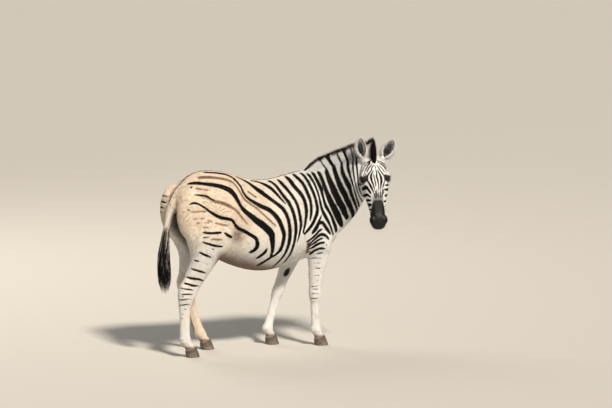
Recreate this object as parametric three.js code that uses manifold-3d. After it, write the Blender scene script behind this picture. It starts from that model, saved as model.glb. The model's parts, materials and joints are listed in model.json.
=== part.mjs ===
// A life-size plains zebra, standing with its head turned back over its right shoulder.
// Millimetres. +X is the way the body faces, +Y its left side, +Z up; the hooves stand on z = 0.
import * as THREE from "three";
import { mergeVertices } from "three/addons/utils/BufferGeometryUtils.js";
import Module from "manifold-3d";

const wasm = await Module();
wasm.setup();

// Driving dimensions
const croupHeight = 1344;
const saddleHeight = 1252; // lowest point of the back
const withersHeight = 1300;
const bellyHeight = 578; // lowest point of the belly
const barrelHalf = 284; // half of the barrel's greatest width
const buttockX = -668;
const breastX = 648;
const coronetHeight = 62;
const headLength = 518;
const earLength = 160;
const maneHeight = 110;
const eyeRadius = 21;
const gap = 0.35; // clearance between pieces that touch
// The muscle beside the tail: its centre on the left, and its half sizes.
const buttock = { at: [-597, 150, 1050], half: [108, 76, 189] };
// The poll, and the way the face points.
const headTurn = { at: [829, -264, 1376], heading: 108.5, pitch: -68, lean: 1.6 };

// Lofts.

// A station is one cross-section: its centre, the way it faces, and its half sizes.
// heading turns from +X towards -Y, pitch lifts, roll tips; crown and keel are the superellipse powers of
// the halves above and below the centre.
function station(at, facing, sizes) {
  const { heading = 0, pitch = 0, roll = 0 } = facing;
  const { side, up, down, crown = 2, keel = 2 } = sizes;
  return [...at, heading, pitch, roll, side, up, down, crown, keel];
}

// Catmull-Rom through every number of the stations, with some steps to each span.
function smoothed(stations, steps) {
  const last = stations.length - 1;
  const rows = [];
  for (let i = 0; i < last; i++) {
    const [a, b, c, d] = [Math.max(i - 1, 0), i, i + 1, Math.min(i + 2, last)].map((k) => stations[k]);
    for (let s = 0; s < steps; s++) {
      const t = s / steps;
      rows.push(
        b.map((_, k) => {
          const pull = (c[k] - a[k]) / 2;
          const push = (d[k] - b[k]) / 2;
          const rise = c[k] - b[k];
          return b[k] + t * (pull + t * (3 * rise - 2 * pull - push + t * (pull + push - 2 * rise)));
        }),
      );
    }
  }
  rows.push(stations[last]);
  return rows;
}

function turnOf(heading, pitch, roll) {
  const rad = THREE.MathUtils.degToRad;
  const angles = new THREE.Euler(rad(roll), -rad(pitch), -rad(heading), "ZYX");
  return new THREE.Matrix4().makeRotationFromEuler(angles);
}

function superellipse(value, power) {
  return Math.sign(value) * Math.abs(value) ** (2 / power);
}

// A closed geometry through the rows, grown outwards by `grow` on every side.
function loft(rows, sides, grow = 0) {
  const points = [];
  rows.forEach(([x, y, z, heading, pitch, roll, side, up, down, crown, keel], i) => {
    const turn = turnOf(heading, pitch, roll);
    const ahead = i === 0 ? -grow : i === rows.length - 1 ? grow : 0;
    for (let k = 0; k < sides; k++) {
      const angle = (2 * Math.PI * k) / sides;
      const power = Math.sin(angle) > 0 ? crown : keel;
      const reach = Math.sin(angle) > 0 ? up : down;
      const point = new THREE.Vector3(
        ahead,
        superellipse(Math.cos(angle), power) * (side + grow),
        superellipse(Math.sin(angle), power) * (reach + grow),
      );
      points.push(point.applyMatrix4(turn).add(new THREE.Vector3(x, y, z)));
    }
  });
  const middle = (from) =>
    points.slice(from, from + sides).reduce((sum, p) => sum.add(p), new THREE.Vector3()).divideScalar(sides);
  const faces = [];
  for (let i = 0; i < rows.length - 1; i++)
    for (let k = 0; k < sides; k++) {
      const a = i * sides + k;
      const b = i * sides + ((k + 1) % sides);
      faces.push(a, b, a + sides, b, b + sides, a + sides);
    }
  const end = (rows.length - 1) * sides;
  const tail = points.push(middle(0)) - 1;
  const nose = points.push(middle(end)) - 1;
  for (let k = 0; k < sides; k++) {
    const next = (k + 1) % sides;
    faces.push(tail, next, k, nose, end + k, end + next);
  }
  return new THREE.BufferGeometry().setFromPoints(points).setIndex(faces);
}

// Solids.

function solid(geometry) {
  const bare = geometry.clone().deleteAttribute("normal").deleteAttribute("uv");
  const merged = mergeVertices(bare, 1e-3);
  return new wasm.Manifold(
    new wasm.Mesh({
      numProp: 3,
      vertProperties: new Float32Array(merged.attributes.position.array),
      triVerts: new Uint32Array(merged.index.array),
    }),
  );
}

function geometryOf(made) {
  const { vertProperties, triVerts } = made.getMesh();
  return new THREE.BufferGeometry()
    .setAttribute("position", new THREE.BufferAttribute(vertProperties, 3))
    .setIndex(new THREE.BufferAttribute(triVerts, 1));
}

const joined = (parts) => parts.reduce((all, part) => all.add(part));
const carved = (body, tools) => tools.reduce((left, tool) => left.subtract(tool), body);

// A loft as a solid, and the same a little larger, for cutting its seat in a neighbour.
function pair(rows, sides) {
  return { body: solid(loft(rows, sides)), seat: solid(loft(rows, sides, gap)) };
}

// Everything behind a plane, the plane moved out along its normal by `grow`.
function behind([point, normal], grow) {
  const block = new THREE.BoxGeometry(4000, 4000, 4000).translate(grow - 2000, 0, 0);
  const ahead = new THREE.Vector3(...normal).normalize();
  const turn = new THREE.Quaternion().setFromUnitVectors(new THREE.Vector3(1, 0, 0), ahead);
  return solid(block.applyQuaternion(turn).translate(...point));
}

// The part of space behind all the planes.
function region(planes, grow = 0) {
  return planes.map((plane) => behind(plane, grow)).reduce((all, half) => all.intersect(half));
}

// Trunk.

// Sections across the trunk from the buttocks to the breast.
const trunkSections = [
  { x: buttockX, top: 1165, bottom: 1080, widest: 1122, side: 42 },
  { x: -640, top: 1226, bottom: 990, widest: 1110, side: 122 }, // pin bones
  { x: -580, top: 1290, bottom: 900, widest: 1090, side: 186 }, // root of the tail
  { x: -500, top: 1331, bottom: 820, widest: 1075, side: 226 },
  { x: -410, top: croupHeight, bottom: 742, widest: 1060, side: 250 }, // croup
  { x: -300, top: 1331, bottom: 674, widest: 1000, side: 262 }, // hip bones
  { x: -190, top: 1300, bottom: 624, widest: 930, side: 270 }, // flank
  { x: -80, top: 1267, bottom: 590, widest: 890, side: 281 },
  { x: 30, top: saddleHeight, bottom: bellyHeight, widest: 875, side: barrelHalf }, // saddle and belly
  { x: 140, top: 1262, bottom: 590, widest: 885, side: 276 },
  { x: 250, top: 1284, bottom: 615, widest: 910, side: 264 }, // girth
  { x: 350, top: withersHeight, bottom: 638, widest: 930, side: 240 }, // withers
  { x: 440, top: 1284, bottom: 660, widest: 925, side: 216 },
  { x: 530, top: 1190, bottom: 694, widest: 920, side: 184 }, // points of the shoulders
  { x: 600, top: 1080, bottom: 744, widest: 905, side: 136 },
  { x: breastX, top: 980, bottom: 812, widest: 890, side: 64 },
];

// The thighs bulge behind the trunk on both sides of the tail.
function makeButtock(side) {
  const [x, y, z] = buttock.at;
  return solid(new THREE.SphereGeometry(1, 10, 7).scale(...buttock.half).translate(x, side * y, z));
}

function makeTrunk() {
  const stations = trunkSections.map(({ x, top, bottom, widest, side }) =>
    station([x, 0, widest], {}, { side, up: top - widest, down: widest - bottom, crown: 1.95, keel: 2.15 }),
  );
  return pair(smoothed(stations, 2), 18);
}

// Neck and mane.

// The neck rises from the breast and swings to the right.
const neckStations = [
  station([370, 0, 1000], { heading: 0, pitch: 30 }, { side: 176, up: 236, down: 280 }),
  station([480, -8, 1072], { heading: 4, pitch: 36 }, { side: 152, up: 232, down: 312 }), // base
  station([588, -38, 1148], { heading: 16, pitch: 40 }, { side: 122, up: 198, down: 276 }),
  station([655, -88, 1205], { heading: 34, pitch: 38 }, { side: 100, up: 150, down: 232 }),
  station([712, -146, 1260], { heading: 54, pitch: 30 }, { side: 90, up: 120, down: 210 }),
  station([755, -206, 1292], { heading: 74, pitch: 18 }, { side: 83, up: 114, down: 192 }), // throat
  station([782, -254, 1312], { heading: 90, pitch: 4 }, { side: 70, up: 98, down: 150 }),
];

// Where the crest of a ring is, with the ring's own direction.
function crestOf([x, y, z, heading, pitch, roll, , up]) {
  const crest = new THREE.Vector3(0, 0, up).applyMatrix4(turnOf(heading, pitch, roll));
  return { at: crest.add(new THREE.Vector3(x, y, z)).toArray(), heading, pitch, roll };
}

// Head.

// The face looks along its heading, leans a little over its own right ear, and hangs by its pitch.
const headFrame = turnOf(headTurn.heading, 0, headTurn.lean).multiply(turnOf(0, headTurn.pitch, 0));
headFrame.setPosition(...headTurn.at);

// A point of the head: how far along it from the poll, to its left, and above its mid-line.
function onHead(along, left, above) {
  return new THREE.Vector3(along, left, above).applyMatrix4(headFrame).toArray();
}

const inHead = (geometry) => geometry.applyMatrix4(headFrame);
const wayOut = (along, left, above) =>
  new THREE.Vector3(along, left, above).transformDirection(headFrame).toArray();

// Sections along the head: half width, reach to the profile of the face, and reach to the jaw.
const headSections = [
  { along: -34, side: 50, up: 26, down: 34 },
  { along: 0, side: 78, up: 46, down: 70 }, // poll
  { along: 56, side: 98, up: 66, down: 112 }, // forehead
  { along: 110, side: 104, up: 77, down: 142 },
  { along: 164, side: 105, up: 78, down: 150 }, // eyes and angle of the jaw
  { along: 228, side: 92, up: 72, down: 140 },
  { along: 292, side: 76, up: 62, down: 114 },
  { along: 356, side: 62, up: 53, down: 84 }, // bridge of the nose
  { along: 408, side: 57, up: 48, down: 62 },
  { along: 450, side: 59, up: 46, down: 58 }, // nostrils
  { along: 486, side: 54, up: 36, down: 54 },
  { along: 510, side: 38, up: 20, down: 42 }, // lips
  { along: headLength, side: 18, up: 6, down: 22 },
];

function blob([along, left, above], [rAlong, rLeft, rAbove], grow) {
  const ball = new THREE.SphereGeometry(1, 8, 6);
  ball.scale(rAlong + grow, rLeft + grow, rAbove + grow).translate(along, left, above);
  return solid(inHead(ball));
}

function eyePlace(side) {
  return [148, side * 88, 38];
}

function makeHead(grow) {
  const stations = headSections.map(({ along, ...sizes }) =>
    station([along, 0, 0], {}, { ...sizes, crown: 2.5, keel: 2 }),
  );
  const parts = [solid(inHead(loft(smoothed(stations, 2), 16, grow)))];
  for (const side of [-1, 1]) {
    parts.push(blob([190, side * 52, -62], [78, 32, 80], grow)); // cheek
    parts.push(blob([136, side * 84, 46], [44, 26, 24], grow)); // brow
    parts.push(blob([452, side * 38, 12], [40, 30, 32], grow)); // nostril
    parts.push(blob([-2, side * 72, 26], [34, 28, 32], grow)); // root of the ear
  }
  parts.push(blob([474, 0, -44], [34, 34, 24], grow)); // chin
  return joined(parts);
}

// An ear is a pointed cup: one leaf with a smaller leaf cut out of its front.
const earPoses = {
  ear_right: { root: [-6, -82, 36], tilt: -6, lean: 4, swing: 22 },
  ear_left: { root: [-8, 74, 22], tilt: 31, lean: 6, swing: -12 },
};

const earWidths = [
  { at: 0, half: 26, deep: 24 },
  { at: 0.14, half: 33, deep: 27 },
  { at: 0.34, half: 41, deep: 26 },
  { at: 0.56, half: 43, deep: 21 },
  { at: 0.78, half: 34, deep: 14 },
  { at: 0.92, half: 21, deep: 8 },
  { at: 1, half: 8, deep: 4 },
];

function earLeaf(scale, forward, from) {
  const stations = earWidths
    .filter(({ at }) => at >= from)
    .map(({ at, half, deep }) =>
      station([forward, 0, at * earLength * (1 - (1 - scale) * 0.3)], { pitch: 90 }, {
        side: half * scale,
        up: deep * scale,
        down: deep * scale,
      }),
    );
  return solid(loft(stations, 12));
}

// The ear stands on +Z with its opening to +X; tilt spreads it sideways and swing turns the opening.
function earPlace({ root, tilt, lean, swing }) {
  const turn = [
    [0, 0, -headTurn.heading],
    [-tilt, 0, 0],
    [0, -lean, 0],
    [0, 0, swing],
  ].map((turns) => {
    const angles = new THREE.Euler(...turns.map(THREE.MathUtils.degToRad));
    return new THREE.Matrix4().makeRotationFromEuler(angles);
  });
  return turn.reduce((all, next) => all.multiply(next)).setPosition(...onHead(...root));
}

const placed = (made, matrix) => solid(geometryOf(made).applyMatrix4(matrix));

function makeEar(pose, seats) {
  return carved(placed(earLeaf(1, 0, 0).subtract(earLeaf(0.86, 15, 0.14)), earPlace(pose)), seats);
}

function makeEye(side, grow) {
  const ball = new THREE.SphereGeometry(eyeRadius + grow, 12, 8);
  return solid(ball.translate(...onHead(...eyePlace(side))));
}

// The mane stands on the crest from the withers to the forelock.
function makeMane(neckRows) {
  const crests = neckRows.slice(3).map(crestOf);
  const stations = crests.map(({ at, heading, pitch, roll }, i) => {
    const grown = THREE.MathUtils.smoothstep(i, -2, 3.4);
    const up = maneHeight * grown + 2.4 * i;
    return station(at, { heading, pitch, roll }, { side: 14 + 10 * grown, up, down: 30, crown: 1.7 });
  });
  const forelock = [
    { at: onHead(-26, -2, 24), pitch: 8, up: maneHeight * 1.48, side: 25 },
    { at: onHead(0, -2, 38), pitch: -10, up: maneHeight * 1.26, side: 27 },
    { at: onHead(40, 0, 56), pitch: -52, up: 36, side: 20 },
  ];
  for (const { at, pitch, up, side } of forelock)
    stations.push(station(at, { heading: headTurn.heading, pitch }, { side, up, down: 30, crown: 1.7 }));
  return solid(loft(stations, 10));
}

// Legs.

// Centres of each leg's silhouette, from the body down to the sole.
const legJoints = {
  foreleg_right: [
    [345, -60, 1190],
    [436, -136, 760],
    [418, -124, 385],
    [428, -120, 125],
    [457, -119, coronetHeight],
    [476, -119, 0],
  ],
  foreleg_left: [
    [345, 60, 1190],
    [400, 132, 765],
    [220, 98, 388],
    [130, 84, 125],
    [150, 82, coronetHeight],
    [166, 82, 0],
  ],
  hindleg_right: [
    [-420, -70, 1250],
    [-438, -152, 900],
    [-640, -127, 490],
    [-638, -121, 125],
    [-594, -120, coronetHeight],
    [-576, -120, 0],
  ],
  hindleg_left: [
    [-420, 70, 1250],
    [-450, 160, 900],
    [-536, 128, 490],
    [-412, 114, 125],
    [-372, 112, coronetHeight],
    [-354, 112, 0],
  ],
};

// Sections of a leg: bone and how far down it, reach to the front, back and each side, and forward lean.
const foreSections = [
  { bone: 0, down: 0, front: 54, back: 50, side: 36 },
  { bone: 0, down: 0.3, front: 108, back: 92, side: 78 }, // shoulder blade
  { bone: 0, down: 0.65, front: 140, back: 124, side: 98 }, // point of the shoulder
  { bone: 1, down: 0, front: 112, back: 112, side: 84 }, // elbow
  { bone: 1, down: 0.2, front: 95, back: 82, side: 63 },
  { bone: 1, down: 0.4, front: 81, back: 65, side: 54 },
  { bone: 1, down: 0.6, front: 65, back: 58, side: 47 },
  { bone: 1, down: 0.82, front: 48, back: 50, side: 41 },
  { bone: 2, down: 0, front: 45, back: 46, side: 42 }, // knee
  { bone: 2, down: 0.16, front: 40, back: 42, side: 37 },
  { bone: 2, down: 0.34, front: 34, back: 36, side: 30 },
  { bone: 2, down: 0.62, front: 32, back: 35, side: 28 },
  { bone: 2, down: 0.86, front: 35, back: 38, side: 31 },
  { bone: 3, down: 0, front: 42, back: 42, side: 36, lean: 6 }, // fetlock
  { bone: 3, down: 0.5, front: 37, back: 34, side: 32, lean: 22 },
  { bone: 3, down: 0.8, front: 35, back: 33, side: 33, lean: 26 },
  { bone: 4, down: 0, front: 43, back: 40, side: 41, lean: 20 }, // coronet
];

const hindSections = [
  { bone: 0, down: 0, front: 90, back: 110, side: 60 },
  { bone: 0, down: 0.36, front: 172, back: 200, side: 104 },
  { bone: 0, down: 0.72, front: 208, back: 219, side: 121 },
  { bone: 1, down: 0, front: 214, back: 206, side: 117 }, // stifle
  { bone: 1, down: 0.2, front: 206, back: 138, side: 102 },
  { bone: 1, down: 0.4, front: 168, back: 78, side: 84 },
  { bone: 1, down: 0.6, front: 143, back: 54, side: 67 },
  { bone: 1, down: 0.8, front: 124, back: 50, side: 54 },
  { bone: 1, down: 0.93, front: 112, back: 58, side: 48 }, // point of the hock
  { bone: 2, down: 0.06, front: 98, back: 54, side: 46 },
  { bone: 2, down: 0.2, front: 68, back: 50, side: 42 },
  { bone: 2, down: 0.36, front: 46, back: 44, side: 35 },
  { bone: 2, down: 0.58, front: 37, back: 39, side: 31 },
  { bone: 2, down: 0.84, front: 39, back: 40, side: 32 },
  { bone: 3, down: 0, front: 46, back: 42, side: 36, lean: 6 }, // fetlock
  { bone: 3, down: 0.5, front: 38, back: 35, side: 32, lean: 24 },
  { bone: 3, down: 0.8, front: 35, back: 34, side: 33, lean: 28 },
  { bone: 4, down: 0, front: 43, back: 40, side: 41, lean: 20 }, // coronet
];

const legStation = (at, { front, back, side, lean = 0 }) =>
  station(at, { pitch: lean - 90 }, { side, up: front, down: back });

function legStations(joints, sections) {
  return sections.map((section) => {
    const above = new THREE.Vector3(...joints[section.bone]);
    const below = new THREE.Vector3(...joints[section.bone + 1]);
    return legStation(above.lerp(below, section.down).toArray(), section);
  });
}

// The rows from one index to another, with each open end drawn back by half a gap.
function stretch(rows, from, to) {
  const cut = rows.slice(from, to + 1).map((row) => [...row]);
  if (from > 0) cut[0][2] -= gap / 2;
  if (to < rows.length - 1) cut[cut.length - 1][2] += gap / 2;
  return cut;
}

function makeHoof([coronet, sole]) {
  const lerp = THREE.MathUtils.lerp;
  const stations = [0, 0.3, 0.65, 1].map((down) =>
    legStation(
      [lerp(coronet[0], sole[0], down), coronet[1], lerp(coronet[2] - gap, sole[2], down)],
      {
        front: lerp(43, 54, down),
        back: lerp(39, 50, down),
        side: lerp(40, 49, down),
        lean: lerp(20, 0, down),
      },
    ),
  );
  return solid(loft(stations, 16));
}

function makeLeg(name) {
  const sections = name.startsWith("fore") ? foreSections : hindSections;
  const joints = legJoints[name];
  const rows = smoothed(legStations(joints, sections), 1);
  const joint = sections.findIndex(({ bone }) => bone === 2) - 1;
  return {
    upper: solid(loft(stretch(rows, 0, joint), 16)),
    lower: solid(loft(stretch(rows, joint, rows.length - 1), 12)),
    hoof: makeHoof(joints.slice(4)),
  };
}

// Tail.

const tailStations = [
  station([-570, 0, 1252], { heading: 180, pitch: -28 }, { side: 30, up: 26, down: 30 }),
  station([-617, 0, 1218], { heading: 180, pitch: -46 }, { side: 33, up: 28, down: 32 }),
  station([-656, 0, 1158], { heading: 180, pitch: -62 }, { side: 33, up: 32, down: 32 }),
  station([-687, 0, 1080], { heading: 180, pitch: -71 }, { side: 31, up: 32, down: 30 }),
  station([-710, 0, 1000], { heading: 180, pitch: -76 }, { side: 25, up: 26, down: 25 }),
  station([-726, 0, 920], { heading: 180, pitch: -81 }, { side: 22, up: 24, down: 24 }), // end of the dock
  station([-739, 0, 830], { heading: 180, pitch: -86 }, { side: 32, up: 35, down: 34 }),
  station([-747, 0, 730], { heading: 180, pitch: -90 }, { side: 44, up: 46, down: 44 }),
  station([-745, 0, 630], { heading: 180, pitch: -90 }, { side: 50, up: 50, down: 50 }),
  station([-742, 0, 530], { heading: 180, pitch: -90 }, { side: 46, up: 46, down: 46 }),
  station([-736, 0, 448], { heading: 180, pitch: -90 }, { side: 20, up: 22, down: 22 }),
];

function makeTail() {
  const dockEnd = 5;
  const end = tailStations.length - 1;
  const tuft = solid(loft(stretch(tailStations, dockEnd, end), 12));
  return { dock: pair(stretch(tailStations, 0, dockEnd), 12), tuft };
}

// Assembly.

const finishes = {
  coat: new THREE.MeshStandardMaterial({ color: 0xdccfbf, roughness: 0.85, metalness: 0 }),
  muzzle: new THREE.MeshStandardMaterial({ color: 0x221f20, roughness: 0.7, metalness: 0 }),
  longHair: new THREE.MeshStandardMaterial({ color: 0x1d1a1a, roughness: 0.75, metalness: 0 }),
  hoof: new THREE.MeshStandardMaterial({ color: 0x3a3431, roughness: 0.55, metalness: 0 }),
  eye: new THREE.MeshStandardMaterial({ color: 0x120c09, roughness: 0.1, metalness: 0 }),
};

// A mesh whose own origin is its solid's centre, placed back where it belongs.
function mesh(name, made, finish) {
  const geometry = geometryOf(made);
  geometry.computeBoundingBox();
  const centre = geometry.boundingBox.getCenter(new THREE.Vector3()).round();
  const piece = new THREE.Mesh(geometry.translate(-centre.x, -centre.y, -centre.z), finishes[finish]);
  piece.name = name;
  piece.position.copy(centre);
  return piece;
}

function group(...pieces) {
  return new THREE.Group().add(...pieces);
}

// The planes that part the pieces of the body, each a point and the way out of the piece.
const medial = (side) => [[0, 0, 0], [0, -side, 0]];
const partings = {
  neck: [[[530, 0, 1059], [-0.893, 0, -0.449]]], // from the withers to the breast
};
for (const [side, name] of [[-1, "right"], [1, "left"]]) {
  partings[`foreleg_${name}_upper`] = [
    [[400, 0, 600], [0, -1.1 * side, 1]], // under the shoulder
    [[200, 0, 600], [-1, 0, 1]], // behind the elbow
    medial(side),
  ];
  partings[`hindleg_${name}_upper`] = [
    [[-450, 0, 660], [0, -0.95 * side, 1]], // over the thigh
    [[-205, 0, 870], [1, 0, -0.45]], // down the fold of the flank
    medial(side),
  ];
}

function zebra() {
  const neckRows = smoothed(neckStations, 2);
  const neck = pair(neckRows, 16);
  const trunk = makeTrunk();
  const tail = makeTail();
  const legs = Object.entries(legJoints).map(([name]) => [name, makeLeg(name)]);
  const headSeat = makeHead(gap);
  const eyes = { eye_right: -1, eye_left: 1 };
  const sockets = Object.values(eyes).map((side) => makeEye(side, gap));
  const snout = [[onHead(305, 0, 0), wayOut(-1, 0, 0)]];
  const wholeHead = makeHead(0);
  const earRooms = Object.values(earPoses).map((pose) => placed(earLeaf(1.04, 0, 0), earPlace(pose)));

  const flesh = [trunk.body, neck.body, makeButtock(-1), makeButtock(1), ...legs.map(([, leg]) => leg.upper)];
  let rest = joined(flesh).subtract(headSeat);
  const pieces = {};
  for (const [name, planes] of Object.entries(partings)) {
    pieces[name] = rest.intersect(region(planes));
    rest = rest.subtract(region(planes, gap));
  }

  const body = group(
    mesh("trunk", rest.subtract(tail.dock.seat), "coat"),
    mesh("neck", pieces.neck, "coat"),
    mesh("mane", carved(makeMane(neckRows), [neck.seat, headSeat, trunk.seat, ...earRooms]), "longHair"),
    mesh("tail_dock", tail.dock.body, "coat"),
    mesh("tail_tuft", tail.tuft, "longHair"),
  );
  const head = group(
    mesh("head", carved(wholeHead, [region(snout, gap), ...sockets]), "coat"),
    mesh("muzzle", wholeHead.intersect(region(snout)), "muzzle"),
    ...Object.entries(eyes).map(([name, side]) => mesh(name, makeEye(side, 0), "eye")),
    ...Object.entries(earPoses).map(([name, pose]) =>
      mesh(name, makeEar(pose, [headSeat, neck.seat]), "coat"),
    ),
  );
  const limbs = legs.map(([name, { lower, hoof }]) =>
    group(
      mesh(`${name}_upper`, pieces[`${name}_upper`], "coat"),
      mesh(`${name}_lower`, lower, "coat"),
      mesh(`${name}_hoof`, hoof, "hoof"),
    ),
  );
  return group(body, head, ...limbs);
}

// The origin is under the middle of the whole animal, on the ground.
function grounded(animal) {
  const centre = new THREE.Box3().setFromObject(animal).getCenter(new THREE.Vector3());
  animal.position.set(-centre.x, -centre.y, 0);
  return animal;
}

export default grounded(zebra());
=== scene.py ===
import json
import math
import time

import bmesh
import bpy
import numpy as np
from mathutils import Matrix, Vector
from mathutils.bvhtree import BVHTree

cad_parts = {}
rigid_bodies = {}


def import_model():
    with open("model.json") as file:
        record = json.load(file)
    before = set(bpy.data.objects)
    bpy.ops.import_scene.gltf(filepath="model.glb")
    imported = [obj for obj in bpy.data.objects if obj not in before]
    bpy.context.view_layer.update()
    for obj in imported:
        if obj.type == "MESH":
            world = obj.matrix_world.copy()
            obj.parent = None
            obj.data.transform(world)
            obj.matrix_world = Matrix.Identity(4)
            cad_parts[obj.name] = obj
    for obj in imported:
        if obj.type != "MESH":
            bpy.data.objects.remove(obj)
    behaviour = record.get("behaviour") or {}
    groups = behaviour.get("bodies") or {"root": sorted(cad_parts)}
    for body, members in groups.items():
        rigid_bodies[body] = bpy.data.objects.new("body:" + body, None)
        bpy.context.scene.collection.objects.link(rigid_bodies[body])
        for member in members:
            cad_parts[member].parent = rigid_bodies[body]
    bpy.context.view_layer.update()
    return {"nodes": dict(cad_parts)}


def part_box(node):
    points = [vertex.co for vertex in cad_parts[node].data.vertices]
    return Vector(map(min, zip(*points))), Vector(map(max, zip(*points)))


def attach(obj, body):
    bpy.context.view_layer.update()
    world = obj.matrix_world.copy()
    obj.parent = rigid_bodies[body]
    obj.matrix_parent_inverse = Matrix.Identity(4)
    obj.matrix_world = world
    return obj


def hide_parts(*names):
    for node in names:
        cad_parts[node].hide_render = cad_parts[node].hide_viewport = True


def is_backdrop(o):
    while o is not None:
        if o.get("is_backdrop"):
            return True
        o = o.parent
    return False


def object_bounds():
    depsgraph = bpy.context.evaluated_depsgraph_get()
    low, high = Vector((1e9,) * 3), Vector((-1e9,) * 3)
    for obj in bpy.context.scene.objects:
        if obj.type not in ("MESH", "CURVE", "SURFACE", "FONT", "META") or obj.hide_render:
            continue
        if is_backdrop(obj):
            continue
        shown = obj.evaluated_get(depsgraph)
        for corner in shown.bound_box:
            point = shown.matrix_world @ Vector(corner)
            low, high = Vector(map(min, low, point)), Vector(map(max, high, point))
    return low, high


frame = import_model()
print("frame loaded:", len(frame["nodes"]), "nodes")

# A life-size plains zebra that stands with its head turned back over its right shoulder.
# Shapes are worked out in the body's own frame (millimetres in the tables, metres in the meshes):
# +X the way the body faces, +Y its left side, +Z up. The last step moves each mesh to the row's frame.


def linear(hexColour):  # sRGB hex to the linear colour that a shader takes
    parts = [int(hexColour[i:i + 2], 16) / 255 for i in (1, 3, 5)]
    return (*[p / 12.92 if p <= 0.04045 else ((p + 0.055) / 1.055) ** 2.4 for p in parts], 1)


def smoothstep(low, high, value):
    t = np.clip((value - low) / (high - low), 0, 1)
    return t * t * (3 - 2 * t)


def turnOf(heading, pitch=0, roll=0):  # heading turns from +X towards -Y, pitch lifts, roll tips
    h, p, r = (math.radians(a) for a in (heading, pitch, roll))
    return Matrix.Rotation(-h, 3, "Z") @ Matrix.Rotation(-p, 3, "Y") @ Matrix.Rotation(r, 3, "X")


def smoothed(stations, steps):  # Catmull-Rom through every number of the stations
    p = np.array(stations, float)
    last = len(p) - 1
    t = np.linspace(0, last, last * steps + 1)
    i = np.minimum(t.astype(int), last - 1)
    f = (t - i)[:, None]
    a, b, c, d = p[np.maximum(i - 1, 0)], p[i], p[i + 1], p[np.minimum(i + 2, last)]
    pull, push, rise = (c - a) / 2, (d - b) / 2, c - b
    return b + f * (pull + f * (3 * rise - 2 * pull - push + f * (pull + push - 2 * rise)))


def station(at, facing, sizes, powers=(2, 2)):  # facing: heading, pitch, roll; sizes: side, up, down
    return [*at, *(list(facing) + [0, 0])[:3], *sizes, *powers]


def loft(rows, sides, depth=0):  # rings of points through the rows, drawn in by the coat's depth
    angle = np.arange(sides) * 2 * math.pi / sides
    c, s = np.cos(angle), np.sin(angle)
    rings = []
    for x, y, z, heading, pitch, roll, side, up, down, crown, keel in rows:
        power = 2 / np.where(s > 0, crown, keel)
        across = np.sign(c) * abs(c) ** power * max(side - depth, 1)
        high = np.sign(s) * abs(s) ** power * np.maximum(np.where(s > 0, up, down) - depth, 1)
        turn = np.array(turnOf(heading, pitch, roll))
        rings.append(np.stack([0 * c, across, high], 1) @ turn.T + (x, y, z))
    return np.array(rings) / 1000


def closedFaces(count, sides):  # quads between the rings, and a fan at each end
    i, k = np.meshgrid(np.arange(count - 1), np.arange(sides), indexing="ij")
    a, b = i * sides + k, i * sides + (k + 1) % sides
    quads = np.stack([a, b, b + sides, a + sides], -1).reshape(-1, 4)
    tail, nose = count * sides, count * sides + 1
    end = (count - 1) * sides
    fans = [(tail, (j + 1) % sides, j) for j in range(sides)]
    fans += [(nose, end + j, end + (j + 1) % sides) for j in range(sides)]
    return quads.tolist() + fans


def closedLoft(rings):
    count, sides = rings.shape[:2]
    verts = np.concatenate([rings.reshape(-1, 3), [rings[0].mean(0), rings[-1].mean(0)]])
    return verts, closedFaces(count, sides)


def ball(centre, radii, turn=None, sides=40):  # an ellipsoid as a closed loft along its own X
    bends = np.linspace(0.02, math.pi - 0.02, 22)
    rows = [station([-math.cos(b), 0, 0], (0, 0), [math.sin(b)] * 3) for b in bends]
    rings = loft(np.array(rows) * ([1000] * 3 + [1] * 3 + [1000] * 3 + [1] * 2), sides) * radii
    rings = rings if turn is None else rings @ np.array(turn).T
    return closedLoft(rings + centre)


def gather(parts):  # several (verts, faces) as one
    verts, faces, count = [], [], 0
    for v, f in parts:
        verts.append(np.asarray(v))
        faces += [[n + count for n in face] for face in f]
        count += len(v)
    return np.concatenate(verts), faces


def newMesh(name, verts, faces):
    mesh = bpy.data.meshes.new(name)
    mesh.from_pydata(np.asarray(verts).tolist(), [], faces)
    mesh.validate()
    mesh.update()
    return mesh


def newObject(name, mesh, material=None):
    made = bpy.data.objects.new(name, mesh)
    bpy.context.scene.collection.objects.link(made)
    if material:
        mesh.materials.append(material)
    return made


def coordsOf(mesh):
    flat = np.empty(len(mesh.vertices) * 3)
    mesh.vertices.foreach_get("co", flat)
    return flat.reshape(-1, 3)


def normalsOf(mesh):
    flat = np.empty(len(mesh.vertices) * 3)
    mesh.vertex_normals.foreach_get("vector", flat)
    return flat.reshape(-1, 3)


def moveTo(mesh, points):
    mesh.vertices.foreach_set("co", np.asarray(points, float).ravel())
    mesh.update()


def edgesOf(mesh):
    flat = np.empty(len(mesh.edges) * 2, int)
    mesh.edges.foreach_get("vertices", flat)
    return flat.reshape(-1, 2)


def relaxed(points, edges, weight, rounds, keep=0.53):  # smoothing that gives back the size it takes
    a, b = edges.T
    degree = np.bincount(a, minlength=len(points)) + np.bincount(b, minlength=len(points))
    weight = np.broadcast_to(weight, len(points))[:, None]
    for step in range(rounds * 2):
        total = np.stack([
            np.bincount(a, points[b, k], len(points)) + np.bincount(b, points[a, k], len(points))
            for k in range(3)
        ], 1)
        share = 0.5 if step % 2 == 0 else -keep
        points = points + weight * share * (total / degree[:, None] - points)
    return points


def remeshed(name, verts, faces, voxel):  # one closed surface round everything that overlaps
    source = newObject(name, newMesh(name, verts, faces))
    remesh = source.modifiers.new("join", "REMESH")
    remesh.mode = "VOXEL"
    remesh.voxel_size = voxel
    shaped = source.evaluated_get(bpy.context.evaluated_depsgraph_get())
    mesh = bpy.data.meshes.new_from_object(shaped)
    bpy.data.objects.remove(source)
    return mesh


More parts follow.
